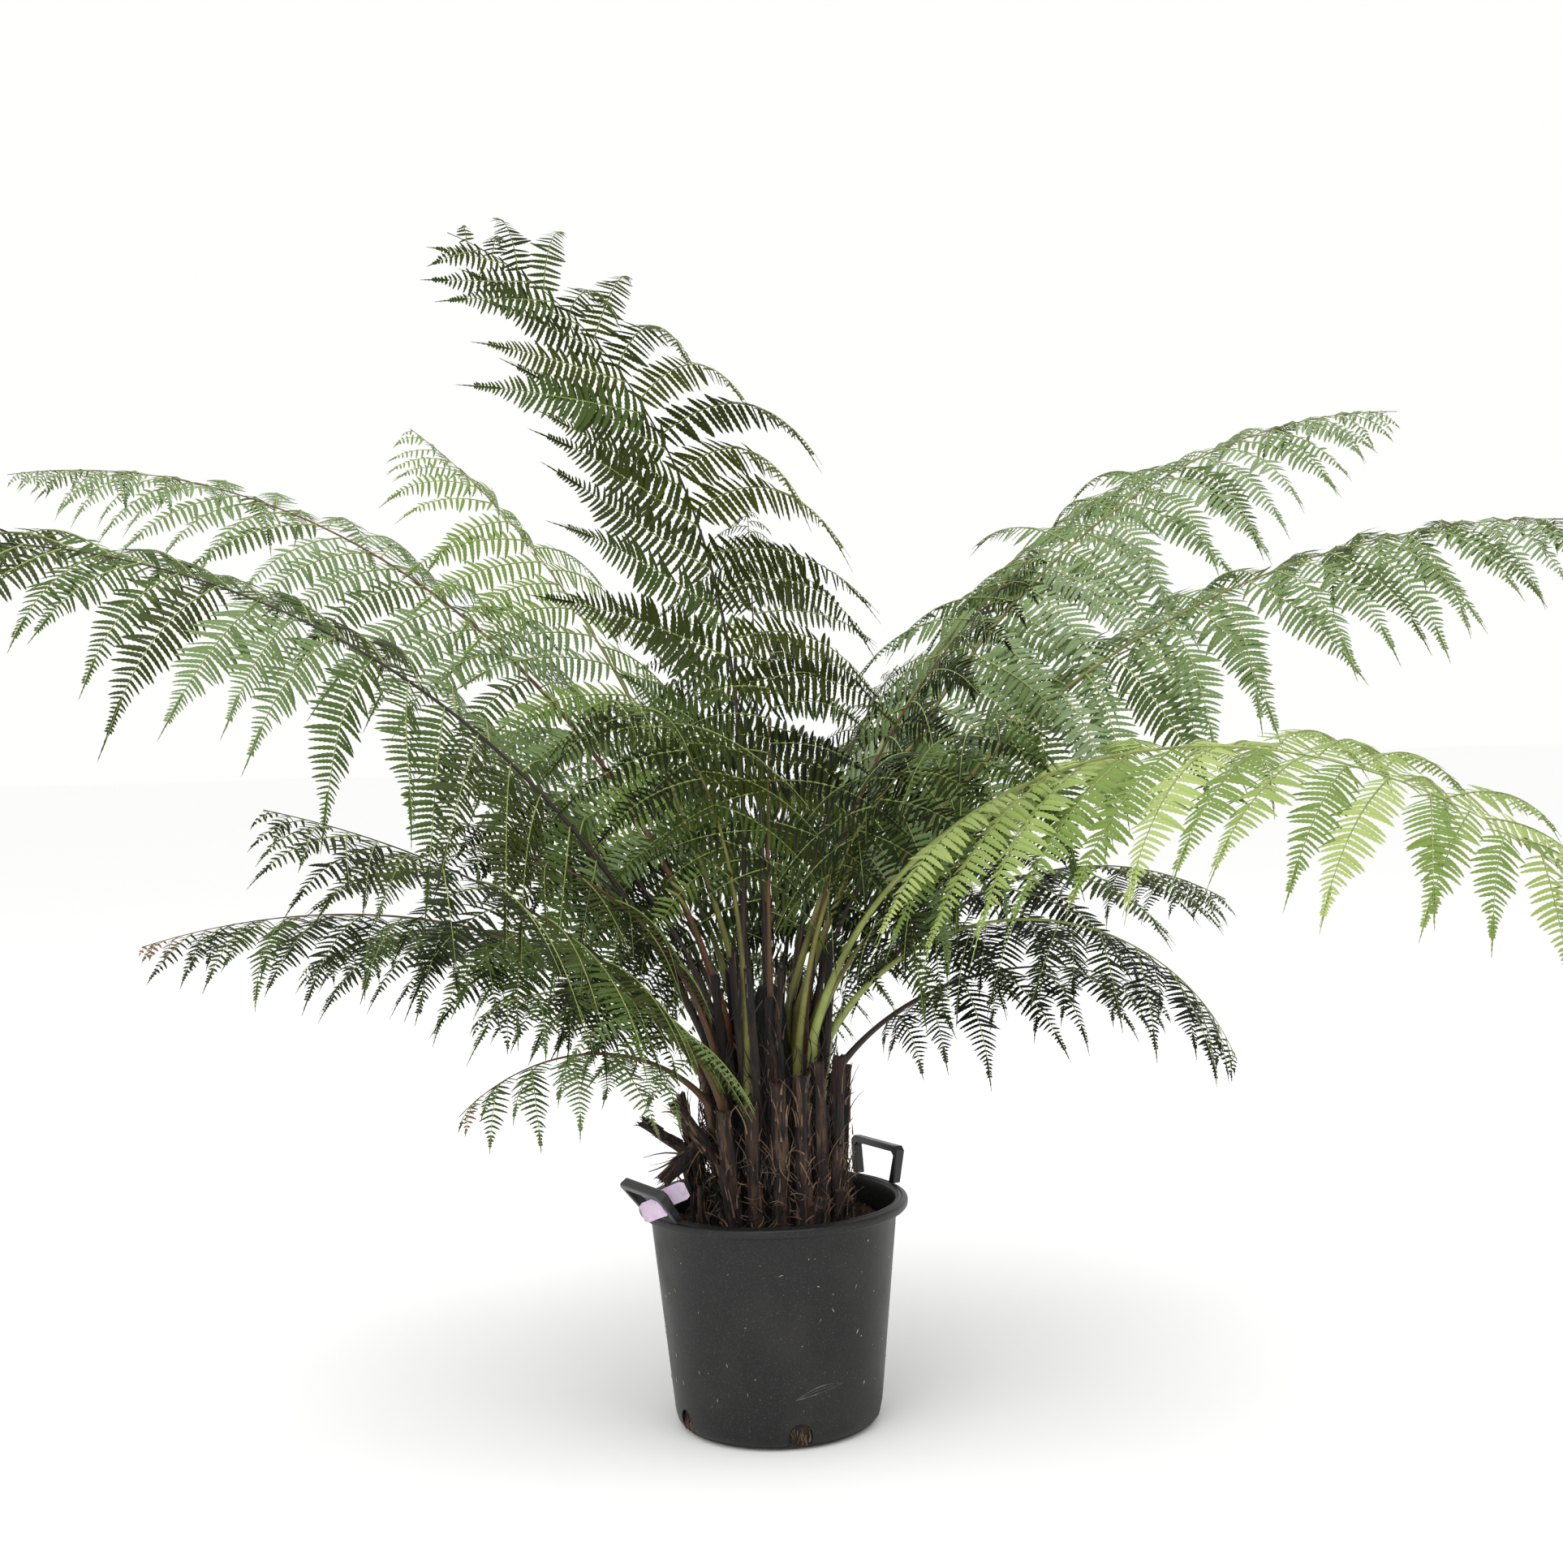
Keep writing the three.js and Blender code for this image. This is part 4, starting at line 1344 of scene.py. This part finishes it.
@dataclass
class Frond:
    """One frond: a stalk that rises and arches over, side branches and their leaflets.

    Directions and slopes are in degrees and lengths in metres. The side branches sweep towards the
    tip, skew to one side, lop and tilt on the left more than on the right, and lift out of the blade.
    The fields that end in change say how much chance alters each branch.
    """

    name: str
    toward: float
    out: float
    foot: float
    rise: float
    fall: float
    bend: float
    reach: float
    spread: float
    droop: float
    bare: float = 0.2
    widest: float = 0.33
    roll: float = 0.0
    twist: float = 0.0
    halves: bool = False
    skin: Skin = Skin.BLACK_BROWN
    tones: tuple[tuple[Tone, float], ...] = mix(mid=1.0)
    tips: Optional[Tone] = None
    losses: float = 0.0
    tips_from: float = 0.86
    dead_from: float = 2.0

    steps: int = 160
    branch_steps: int = 14
    stalk_radius: float = 0.0056
    stalk_tip: float = 0.0006
    root: float = 0.150
    sweep: float = -10.0
    sweep_more: float = 62.0
    skew: float = 0.0
    lop: float = 0.0
    tilt: float = 0.0
    lift: float = -10.0
    branch_gap: float = 0.064
    leaflet_gap: float = 0.0138
    leaflet_length: float = 0.044
    breadth: float = 1.0
    full_spread: float = 0.33
    tail: float = 0.24
    shortest: float = 0.012

    length_change: float = 0.20
    turn_change: float = 22.0
    lift_change: float = 18.0
    fall_change: float = 0.6
    drift_change: float = 0.6
    rock_change: float = 24.0

    def spine(self) -> None:
        """Works out the stalk's points and the directions ahead, to the side and out of the blade."""
        shares = (np.arange(self.steps) + 0.5) / self.steps
        self.shares = np.arange(self.steps + 1) / self.steps
        ways = self.ahead_at(shares)
        start = bearing(self.toward) * self.out + UP * self.foot
        moves = np.cumsum(ways * self.reach / self.steps, axis=0)
        self.line = np.concatenate([[start], start + moves])
        self.ahead = self.ahead_at(self.shares)
        roll = np.radians(self.roll + self.twist * self.shares)[:, None]
        flat = np.broadcast_to(bearing(self.toward + 90), self.ahead.shape)
        self.side = flat * np.cos(roll) + np.cross(self.ahead, flat) * np.sin(roll)
        self.top = np.cross(self.ahead, self.side)

    def ahead_at(self, shares: np.ndarray) -> np.ndarray:
        """The stalk's direction at shares of its length."""
        slope = np.radians(lerp(self.rise, self.fall, np.maximum(shares, 0.0) ** self.bend))[:, None]
        return np.cos(slope) * bearing(self.toward) + np.sin(slope) * UP

    def at(self, values: np.ndarray, share: float) -> np.ndarray:
        """A spine value at a share of the stalk's length."""
        return np.array([np.interp(share, self.shares, values[:, k]) for k in range(3)])

    def branch_share(self, share: float) -> float:
        """A branch's length at a share of the leafy part, as a share of the longest."""
        power = math.log(0.5) / math.log(self.widest)
        along = lerp(0.10, 1.0, share) ** power
        return max(0.0, math.sin(math.pi * along)) ** 0.65 * (1 - 0.12 * share)

    def branch_places(self) -> list[float]:
        """Where branches leave the stalk, as shares of the leafy part, closer towards the tip."""
        places, margin = [], 0.012
        share = margin
        leafy = self.reach * (1 - self.bare)
        while share < 1 - margin:
            places.append(share)
            gap = self.branch_gap * (1 - 0.5 * share**2.2)
            share += max(gap, 0.015) / leafy
        return places

    def branch(self, share: float, hand: int, rng: np.random.Generator) -> Branch:
        """One side branch.

        Args:
            share: where it leaves, as a share of the leafy part.
            hand: 1 for the left branch and -1 for the right.
            rng: the seeded source of its irregularity.

        Returns:
            The branch.
        """
        t = self.bare + (1 - self.bare) * share
        ahead, side, top = (self.at(v, t) for v in (self.ahead, self.side, self.top))
        start = self.at(self.line, t)
        length = self.spread * self.branch_share(share) * (1 + self.length_change * (rng.random() - 0.6))
        sweep = self.sweep + self.sweep_more * share**1.3 + hand * self.skew
        turn = math.radians(sweep + self.turn_change * (rng.random() - 0.5))
        way = hand * side * math.cos(turn) + ahead * math.sin(turn)
        lift = math.radians(self.lift + self.lift_change * (rng.random() - 0.5))
        way = way * math.cos(lift) + top * math.sin(lift)
        fall = 1.6 * math.sin(math.radians(self.droop)) * (1 + hand * self.lop)
        fall *= 1 + self.fall_change * (rng.random() - 0.5)
        drift = self.drift_change * (rng.random() - 0.5)
        count = self.branch_steps
        points, ways = [start], []
        for i in range(count):
            u = (i + 0.5) / count
            step = unit(way - UP * fall * u**1.3 + ahead * drift * u)
            ways.append(step)
            points.append(points[-1] + step * length / count)
        ways.append(ways[-1])
        ways = np.array(ways)
        across = unit(ahead - (ways @ ahead)[:, None] * ways)
        tilt = self.tilt if hand > 0 else 0.0
        rock = math.radians(self.rock_change * (rng.random() - 0.5) + tilt)
        across = across * math.cos(rock) + np.cross(ways, across) * math.sin(rock)
        return Branch(np.array(points), ways, across, hand)

    def tone_of(self, share: float, rng: np.random.Generator) -> Tone:
        """The leaf colour dealt to one branch."""
        if share > self.dead_from:
            return Tone.DRY
        if self.tips is not None and share > self.tips_from:
            return self.tips
        chance, total = rng.random() * sum(w for _, w in self.tones), 0.0
        for tone, weight in self.tones:
            total += weight
            if chance <= total:
                return tone
        return self.tones[-1][0]

    def nodes(self) -> list[str]:
        """The CAD nodes that the frond replaces, if it isn't an extra one."""
        ends = ("_lower", "_upper") if self.halves else ("",)
        return [f"frond_{self.name}{end}" for end in ends]

    def build(self, shapes: "LeafletKit", seed: int, nodes: Sequence[str]) -> None:
        """Makes the frond's ribs and leaves.

        Args:
            shapes: the leaflet outlines.
            seed: the seed of its irregularity.
            nodes: the CAD nodes that it replaces.
        """
        rng = np.random.default_rng(seed)
        self.spine()
        sprays, ribs = Sprays(), Bundle()
        for place in self.branch_places():
            for hand in (1, -1):
                shift = (0.2 if hand > 0 else -0.2) * self.branch_gap / self.reach
                share = min(0.99, max(0.005, place + shift))
                if rng.random() < self.losses:
                    continue
                branch = self.branch(share, hand, rng)
                length = branch.length
                if length < self.shortest:
                    continue
                thick = lerp(0.0007, 0.0017, min(1.0, length / 0.3))
                ribs.add(branch.points, thick * (1 - 0.8 * np.linspace(0, 1, len(branch.points))))
                sprays.add_branch(self, branch, self.tone_of(share, rng), rng)
        self.build_stalk(nodes)
        ribs.lay(f"frond_{self.name}_ribs", 3, "frond", SKINS[Skin.COSTA])
        settle(shapes.spread(f"frond_{self.name}_leaves", sprays, seed))

    def build_stalk(self, nodes: Sequence[str]) -> None:
        """Makes the frond's main stalk, from inside the trunk to its tip."""
        back = self.line[0] - unit(lerp(self.ahead[0], UP, 0.75)) * np.linspace(self.root, 0.005, 6)[:, None]
        line = np.concatenate([back, self.line[::2]])
        thick = self.stalk_tip + (self.stalk_radius - self.stalk_tip) * (1 - self.shares[::2]) ** 1.8
        flare = 1 + 0.3 * np.exp(-self.shares[::2] / 0.05)
        widths = np.concatenate([np.full(6, thick[0] * flare[0]), thick * flare])
        Bundle([line], [widths]).lay(f"frond_{self.name}_stalk", 10, "frond", SKINS[self.skin], nodes)


@dataclass
class Sprays:
    """The leaflets of a frond, gathered branch by branch."""

    places: list[np.ndarray] = field(default_factory=list)
    spins: list[np.ndarray] = field(default_factory=list)
    sizes: list[np.ndarray] = field(default_factory=list)
    kinds: list[np.ndarray] = field(default_factory=list)
    tones: list[np.ndarray] = field(default_factory=list)

    def add_branch(self, frond: Frond, branch: Branch, tone: Tone, rng: np.random.Generator) -> None:
        """Adds the leaflets along both sides of a branch.

        Args:
            frond: the frond that the branch is on.
            branch: the branch.
            tone: its leaf colour.
            rng: the seeded source of irregularity.
        """
        length = branch.length
        small = min(1.1, length / frond.full_spread)
        gap = frond.leaflet_gap * (0.35 + 0.65 * small**0.5)
        count = max(3, int(1.25 * length / gap))
        u = (np.arange(count) + 0.5) / count
        u = 1.25 * u - 0.31 * u**3
        steps = np.linspace(0, 1, len(branch.points))
        spot, way, lead = (
            np.stack([np.interp(u, steps, v[:, k]) for k in range(3)], 1)
            for v in (branch.points, branch.ways, branch.across)
        )
        way = unit(way)
        lead = unit(lead - (way * lead).sum(1)[:, None] * way)
        normal = branch.hand * np.cross(lead, way)
        shape = np.minimum(1.0, 0.75 + 2.2 * u) * (1 - 0.86 * smooth(0.40, 0.97, u))
        size = frond.leaflet_length * small**0.7 * shape
        for side in (1, -1):
            jitter = rng.standard_normal((3, count))
            lean = np.radians(lerp(4, 24, u**2) + 4 * jitter[0])[:, None]
            drop = np.radians(lerp(10, 16, u) + 6 * jitter[1])[:, None]
            reach = side * lead * np.cos(lean) + way * np.sin(lean)
            ahead = unit(reach * np.cos(drop) - normal * np.sin(drop))
            face = unit(normal * np.cos(drop) + reach * np.sin(drop))
            roll = (np.radians(7) * jitter[2])[:, None]
            right = np.cross(ahead, face)
            face = face * np.cos(roll) + right * np.sin(roll)
            right = np.cross(ahead, face)
            long = size * (1 + 0.05 * jitter[0])
            wide = (np.maximum(long * 0.20, 0.0034) + 0.0008) * frond.breadth
            # a sickle bends towards the branch's tip, which lies to the right on one side only
            to_tip = np.sign((way * right).sum(1))
            kind = np.where(long > LARGE_LEAFLET, 0, np.where(long > SMALL_LEAFLET, 2, 4))
            kind = kind + np.where((long > SMALL_LEAFLET) & (to_tip < 0), 1, 0)
            size_of = np.stack([wide, long, long], 1)
            self.add(spot, euler(right, ahead, face), size_of, kind.astype(float), tone)
        place = round((1 - frond.tail) * (len(branch.points) - 1))
        ends = branch.points[place : place + 1], branch.points[-1:]
        self.add_tail(*ends, normal[-1:], frond.tail * length, tone)

    def add(
        self, spot: np.ndarray, spin: np.ndarray, size: np.ndarray, kind: np.ndarray, tone: Tone
    ) -> None:
        """Adds leaflets of one colour.

        Args:
            spot: where each leaves its branch, a row for each.
            spin: the turns that lay it there.
            size: its width, length and thickness.
            tone: the colour of them all.
        """
        self.places.append(spot)
        self.spins.append(spin)
        self.sizes.append(size)
        self.kinds.append(kind)
        self.tones.append(np.full(len(spot), float(tone)))

    def add_tail(
        self, start: np.ndarray, end: np.ndarray, normal: np.ndarray, reach: float, tone: Tone
    ) -> None:
        """Adds the long narrow leaflet that ends a branch.

        Args:
            start: where it leaves the branch, one row.
            end: the branch's end, one row.
            normal: the way its upper face looks, one row.
            reach: the length of branch that it covers.
            tone: its leaf colour.
        """
        ahead = unit(end - start)
        face = unit(normal - (normal * ahead).sum(1)[:, None] * ahead)
        long = reach * 1.12
        size = np.array([[min(0.008, 0.0035 + 0.03 * long), long, long]])
        self.add(start, euler(np.cross(ahead, face), ahead, face), size, np.array([TAIL_LEAFLET]), tone)


def euler(right: np.ndarray, ahead: np.ndarray, face: np.ndarray) -> np.ndarray:
    """The XYZ turns that carry the axes to three directions.

    Args:
        right: where +X goes.
        ahead: where +Y goes.
        face: where +Z goes.

    Returns:
        The turns about X, Y and Z, in radians.
    """
    flat = np.hypot(right[:, 0], right[:, 1])
    about_y = np.arctan2(-right[:, 2], flat)
    about_z = np.arctan2(right[:, 1], right[:, 0])
    about_x = np.arctan2(ahead[:, 2], face[:, 2])
    return np.stack([about_x, about_y, about_z], 1)


class LeafletKit:
    """The leaflet outlines, and the tree that sets them along the branches."""

    def __init__(self) -> None:
        """Makes the outlines as helper objects."""
        self.shapes = [
            LeafletShape(6, 0.26, hand=1),
            LeafletShape(6, 0.26, hand=-1),
            LeafletShape(4, 0.30, hand=1),
            LeafletShape(4, 0.30, hand=-1),
            LeafletShape(1, 0.25, sickle=0.0),
            LeafletShape(8, 0.45, fold=0.4, droop=0.10, sickle=0.0, taper=1.0),
        ]
        self.helpers = [shape.build(f"leaflet_{i}") for i, shape in enumerate(self.shapes)]

    def spread(self, name: str, sprays: Sprays, seed: int) -> bpy.types.Object:
        """Sets a leaflet on every place.

        Args:
            name: the finished object's name.
            sprays: the leaflets' places, turns, sizes, kinds and colours.
            seed: the seed of the small size changes.

        Returns:
            One object of all the leaflets.
        """
        made = mesh_object(name, np.concatenate(sprays.places))
        store(made, "spin", np.concatenate(sprays.spins))
        store(made, "size", np.concatenate(sprays.sizes))
        store(made, "kind", np.concatenate(sprays.kinds))
        tone = np.concatenate(sprays.tones)
        store(made, "tone", tone)
        given = {
            "Leaflet size": ("NodeSocketFloat", 1.0),
            "Size change": ("NodeSocketFloat", 0.1),
            "Seed": ("NodeSocketInt", seed),
        }
        tree = GeometryTree("leaflet_tree", given)
        limits = {2: -1.0, 3: 1.0, 8: tree.given("Seed")}
        change = tree.add("FunctionNodeRandomValue", {"data_type": "FLOAT"}, limits, 1)
        scale = tree.given("Leaflet size") * (1.0 + change * tree.given("Size change"))
        wanted = {0: tree.stored("size", "FLOAT_VECTOR"), "Scale": scale}
        size = tree.add("ShaderNodeVectorMath", {"operation": "SCALE"}, wanted)
        parts = []
        for number, helper in enumerate(self.helpers):
            shape = tree.add("GeometryNodeObjectInfo", {}, {"Object": helper}, "Geometry")
            parts.append(tree.instances(shape, size, Selection=tree.equals("kind", number)))
        whole = tree.add("GeometryNodeJoinGeometry", {}, {"Geometry": parts})
        whole = tree.add("GeometryNodeRealizeInstances", {}, {"Geometry": whole})
        for number in sorted(set(tone.astype(int))):
            wanted = {"Geometry": whole, "Selection": tree.equals("tone", number)}
            wanted["Material"] = LEAVES[Tone(number)].material()
            whole = tree.add("GeometryNodeSetMaterial", {}, wanted)
        tree.run(made, whole)
        return made

    def clear(self) -> None:
        """Removes the helper objects."""
        remove(*self.helpers)


# Each frond's name, bearing, distance from the trunk's middle and height of its foot; its slope at the
# foot and the tip, and how late it bends; its length, its longest branch, how far the branches droop,
# the bare stalk's share of it, and the share of the blade where the branches are longest.
FRONDS: tuple[Frond, ...] = (
    Frond(
        "tall", 188, 0.040, 0.620, 93, 23, 2.15, 1.320, 0.375, 28, 0.14, 0.5, roll=60, twist=-26,
        halves=True, skew=-18, lift=0, lop=0.85, tilt=30, sweep=17, sweep_more=22, branch_gap=0.071,
        breadth=1.2, tones=mix(olive=4, moss=2, mid=1),
    ),
    Frond(
        "left_front", 198, 0.088, 0.560, 67, -14, 1.2, 1.620, 0.375, 36, 0.16, 0.4, roll=-26,
        halves=True, skew=-6, sweep=-14, sweep_more=92, lift=-4, breadth=1.05,
        tones=mix(olive=2, mid=3, sage=1),
    ),
    # right_front's lime, yellow and pale tones hold its own light young green, with painted backlit glow and
    # painted highlight and shadow dealt from branch to branch
    Frond(
        "right_front", 325, 0.080, 0.580, 75, -52, 0.85, 1.540, 0.360, 42, 0.30, 0.33, roll=14,
        halves=True, sweep=-30, sweep_more=82, lift=0, breadth=1.22, leaflet_gap=0.0132,
        skin=Skin.YELLOW_GREEN, tones=mix(lime=3, yellow=2, pale=2), tips=Tone.YELLOW,
    ),
    Frond(
        "right_mid", 6, 0.068, 0.600, 67, -9, 0.95, 1.660, 0.345, 56, 0.16, 0.36, roll=20, halves=True,
        sweep=-24, sweep_more=70, lift=-4, branch_gap=0.052, breadth=1.15, skin=Skin.OLIVE_GREEN,
        tones=mix(sage=3, mid=3, grey_sage=1),
    ),
    Frond(
        "right_upper", 26, 0.050, 0.620, 68, 1, 1.25, 1.620, 0.330, 54, 0.16, 0.36, roll=18, halves=True,
        sweep=-24, sweep_more=70, lift=-2, branch_gap=0.052, breadth=1.15, skin=Skin.OLIVE_GREEN,
        tones=mix(sage=4, mid=1, grey_sage=2),
    ),
    Frond(
        "left_back", 156, 0.070, 0.600, 76, -2, 0.85, 1.800, 0.300, 58, 0.16, 0.38, roll=-14,
        halves=True, lift=0, sweep=-4, sweep_more=70, skin=Skin.RED_BROWN,
        tones=mix(sage=3, mid=1, grey_sage=1),
    ),
    Frond(
        "back_left", 139, 0.048, 0.620, 74, 30, 1, 1.250, 0.310, 40, 0.16, 0.4, halves=True,
        skin=Skin.OLIVE_GREEN, tones=mix(pale=3, sage=1),
    ),
    Frond(
        "right_back", 50, 0.048, 0.620, 66, 12, 0.95, 1.480, 0.300, 50, 0.16, 0.38, roll=-10,
        halves=True, branch_gap=0.054, skin=Skin.OLIVE_GREEN, tones=mix(sage=3, mid=1, grey_sage=1),
    ),
    Frond(
        "left_low", 222, 0.092, 0.520, 54, 14, 0.8, 0.880, 0.320, 45, 0.18, 0.4, halves=True,
        tones=mix(mid=1, deep=3, olive=2),
    ),
    Frond(
        "left_lowest", 186, 0.098, 0.520, 70, -16, 0.6, 0.920, 0.270, 45, 0.22, 0.4, halves=True,
        skin=Skin.RED_BROWN, tones=mix(mid=1, deep=3, olive=1), dead_from=0.9,
    ),
    # right_low hangs under right_front: its deep and shade tones are painted shade
    Frond(
        "right_low", 352, 0.090, 0.580, 60, -70, 1.05, 0.760, 0.250, 50, 0.3, 0.45, halves=True,
        skin=Skin.YELLOW_GREEN, tones=mix(deep=1, shade=3),
    ),
    Frond(
        "front_right", 312, 0.064, 0.560, 80, 0, 1.4, 0.750, 0.250, 40, 0.4, 0.45, skin=Skin.OLIVE_GREEN,
        tones=mix(deep=3, mid=2, olive=2),
    ),
    Frond(
        "front_left", 246, 0.078, 0.560, 90, -10, 1.6, 0.780, 0.250, 40, 0.42, 0.45,
        skin=Skin.OLIVE_GREEN, tones=mix(deep=2, mid=2, olive=3),
    ),
    Frond(
        "snapped", 232, 0.108, 0.480, 68, 12, 1, 0.370, 0.200, 50, 0.3, 0.4, skin=Skin.RED_BROWN,
        tones=mix(mid=2, sage=1), dead_from=0.95,
    ),
    Frond(
        "inner_left", 212, 0.086, 0.530, 80, 0, 1, 0.640, 0.220, 40, 0.3, 0.4, skin=Skin.RED_BROWN,
        tones=mix(deep=2, olive=1),
    ),
    Frond(
        "back_upright", 92, 0.050, 0.600, 84, 28, 1, 1.050, 0.300, 45, 0.16, 0.4, halves=True,
        tones=mix(mid=1, deep=2, olive=1),
    ),
    Frond(
        "back_right", 74, 0.080, 0.560, 62, -15, 1, 1.200, 0.300, 50, 0.16, 0.4, halves=True,
        skin=Skin.OLIVE_GREEN, tones=mix(mid=2, sage=1),
    ),
    Frond(
        "back_wide", 120, 0.080, 0.570, 64, -16, 1, 1.200, 0.300, 50, 0.16, 0.4, halves=True,
        skin=Skin.OLIVE_GREEN, tones=mix(mid=2, sage=1),
    ),
    Frond(
        "back_corner", 38, 0.094, 0.540, 54, -25, 0.8, 1.040, 0.280, 50, 0.2, 0.4, halves=True,
        tones=mix(mid=1, deep=2),
    ),
    Frond(
        "side_left", 150, 0.096, 0.520, 52, -25, 0.8, 0.900, 0.270, 50, 0.2, 0.4,
        tones=mix(mid=1, deep=2),
    ),
    Frond(
        "back_low", 96, 0.098, 0.510, 44, -35, 0.8, 0.900, 0.270, 50, 0.22, 0.4,
        tones=mix(mid=1, deep=2),
    ),
    Frond(
        "side_right", 18, 0.098, 0.510, 56, -30, 0.8, 0.640, 0.230, 50, 0.22, 0.4,
        tones=mix(deep=2, shade=2),
    ),
)

# The extra fronds fill the crown's middle and stand for no CAD node; their deep and shade tones are painted
# shade of the crown's inside.
INNER_FRONDS: tuple[Frond, ...] = (
    Frond("inner_a", 20, 0.070, 0.600, 78, 20, 1, 0.62, 0.230, 45, 0.2, 0.4, tones=mix(deep=1, shade=2)),
    Frond(
        "inner_b", 338, 0.075, 0.590, 70, 5, 1, 0.52, 0.200, 45, 0.3, 0.4, skin=Skin.OLIVE_GREEN,
        tones=mix(deep=1, shade=2),
    ),
    Frond("inner_c", 60, 0.070, 0.590, 80, 30, 1, 0.70, 0.240, 45, 0.2, 0.4, tones=mix(deep=1, shade=2)),
    Frond(
        "inner_d", 110, 0.070, 0.590, 82, 40, 1, 0.72, 0.240, 45, 0.2, 0.4,
        tones=mix(deep=3, shade=1, mid=1),
    ),
    Frond("inner_e", 165, 0.075, 0.580, 74, 15, 1, 0.68, 0.240, 45, 0.2, 0.4, tones=mix(deep=1, shade=2)),
    Frond(
        "inner_f", 200, 0.080, 0.570, 76, 10, 1, 0.56, 0.220, 45, 0.24, 0.4,
        tones=mix(deep=2, shade=2, olive=1),
    ),
    Frond(
        "inner_g", 275, 0.060, 0.600, 92, 50, 1, 0.62, 0.220, 35, 0.4, 0.4, skin=Skin.RED_BROWN,
        tones=mix(deep=2, shade=2, olive=1),
    ),
    Frond(
        "inner_h", 350, 0.055, 0.610, 84, 40, 1, 0.80, 0.240, 45, 0.25, 0.4, skin=Skin.RED_BROWN,
        tones=mix(olive=1, deep=2, shade=1),
    ),
    Frond(
        "inner_i", 132, 0.085, 0.560, 66, 0, 1, 0.66, 0.240, 45, 0.2, 0.4,
        tones=mix(deep=3, shade=1, mid=1),
    ),
    Frond(
        "inner_j", 80, 0.085, 0.560, 66, 5, 1, 0.66, 0.240, 45, 0.2, 0.4,
        tones=mix(deep=3, shade=1, mid=1),
    ),
    Frond(
        "low_left", 204, 0.100, 0.490, 54, -42, 0.9, 0.430, 0.190, 55, 0.24, 0.4, skin=Skin.RED_BROWN,
        tones=mix(mid=2, sage=2), dead_from=0.9,
    ),
    Frond(
        "low_inner", 222, 0.095, 0.500, 66, -20, 1, 0.500, 0.200, 55, 0.3, 0.4, skin=Skin.OLIVE_GREEN,
        tones=mix(deep=2, mid=1),
    ),
)


FIRST_SEED = 100  # of the first frond; each frond has the next one


@dataclass
class Tag:
    """The blank card tag by one grip: two curled leaves, each with its middle, size and turn."""

    toward: float = 262.0
    thickness: float = 0.0008
    leaves: tuple[tuple[float, float, float, float, float, float], ...] = (
        (-0.171, -0.131, 0.357, 0.038, 0.030, 20.0),
        (-0.147, -0.122, 0.374, 0.054, 0.028, 24.0),
    )
    finish: TagCard = TagCard("tag_card", tint(214, 194, 218), tint(150, 128, 140))

    def build(self) -> None:
        """Makes both leaves, slightly curled and with rounded corners."""
        points, faces = [], []
        out, flat = bearing(self.toward), bearing(self.toward + 90)
        for x, y, z, width, height, turn in self.leaves:
            spin = math.radians(turn)
            along = flat * math.cos(spin) + UP * math.sin(spin)
            above = UP * math.cos(spin) - flat * math.sin(spin)
            middle = np.array([x, y, z])
            base, count = len(points), 9
            for side in (0.0, 1.0):
                for i in range(count):
                    s = i / (count - 1)
                    reach = height / 2 * (1 - 0.25 * max(0.0, abs(2 * s - 1) - 0.8) / 0.2)
                    curl = 0.006 * (2 * s - 1) ** 2 + self.thickness * side
                    spot = middle + along * width * (s - 0.5) + out * curl
                    points += [spot - above * reach, spot + above * reach]
            other = base + 2 * count
            for i in range(count - 1):
                a, b, c, d = 2 * i, 2 * i + 1, 2 * i + 3, 2 * i + 2
                faces += [[base + k for k in (a, b, c, d)], [other + k for k in (d, c, b, a)]]
                faces.append((base + a, base + d, other + d, other + a))
                faces.append((base + b, other + b, other + c, base + c))
            faces.append((base, other, other + 1, base + 1))
            base, other = (start + 2 * count - 2 for start in (base, other))
            faces.append((base, base + 1, other + 1, other))
        tag = mesh_object("tag_leaves", points, faces, rounded=False)
        face_outwards(tag)
        settle(tag, self.finish, ["tag"])


def main() -> None:
    """Builds the plant and its stage, in order."""
    logging.basicConfig(level=logging.INFO, format="%(name)s %(message)s")
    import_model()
    Camera().build()
    Studio().build()
    Pot().build()
    Grip("grip_right", 34, 4).build()
    Grip("grip_left", 213, 35).build()
    Tag().build()
    Soil().build()
    Trunk().build()
    kit = LeafletKit()
    for seed, frond in enumerate(FRONDS + INNER_FRONDS, FIRST_SEED):
        frond.build(kit, seed, [] if frond in INNER_FRONDS else frond.nodes())
    kit.clear()


if __name__ == "__main__":
    main()
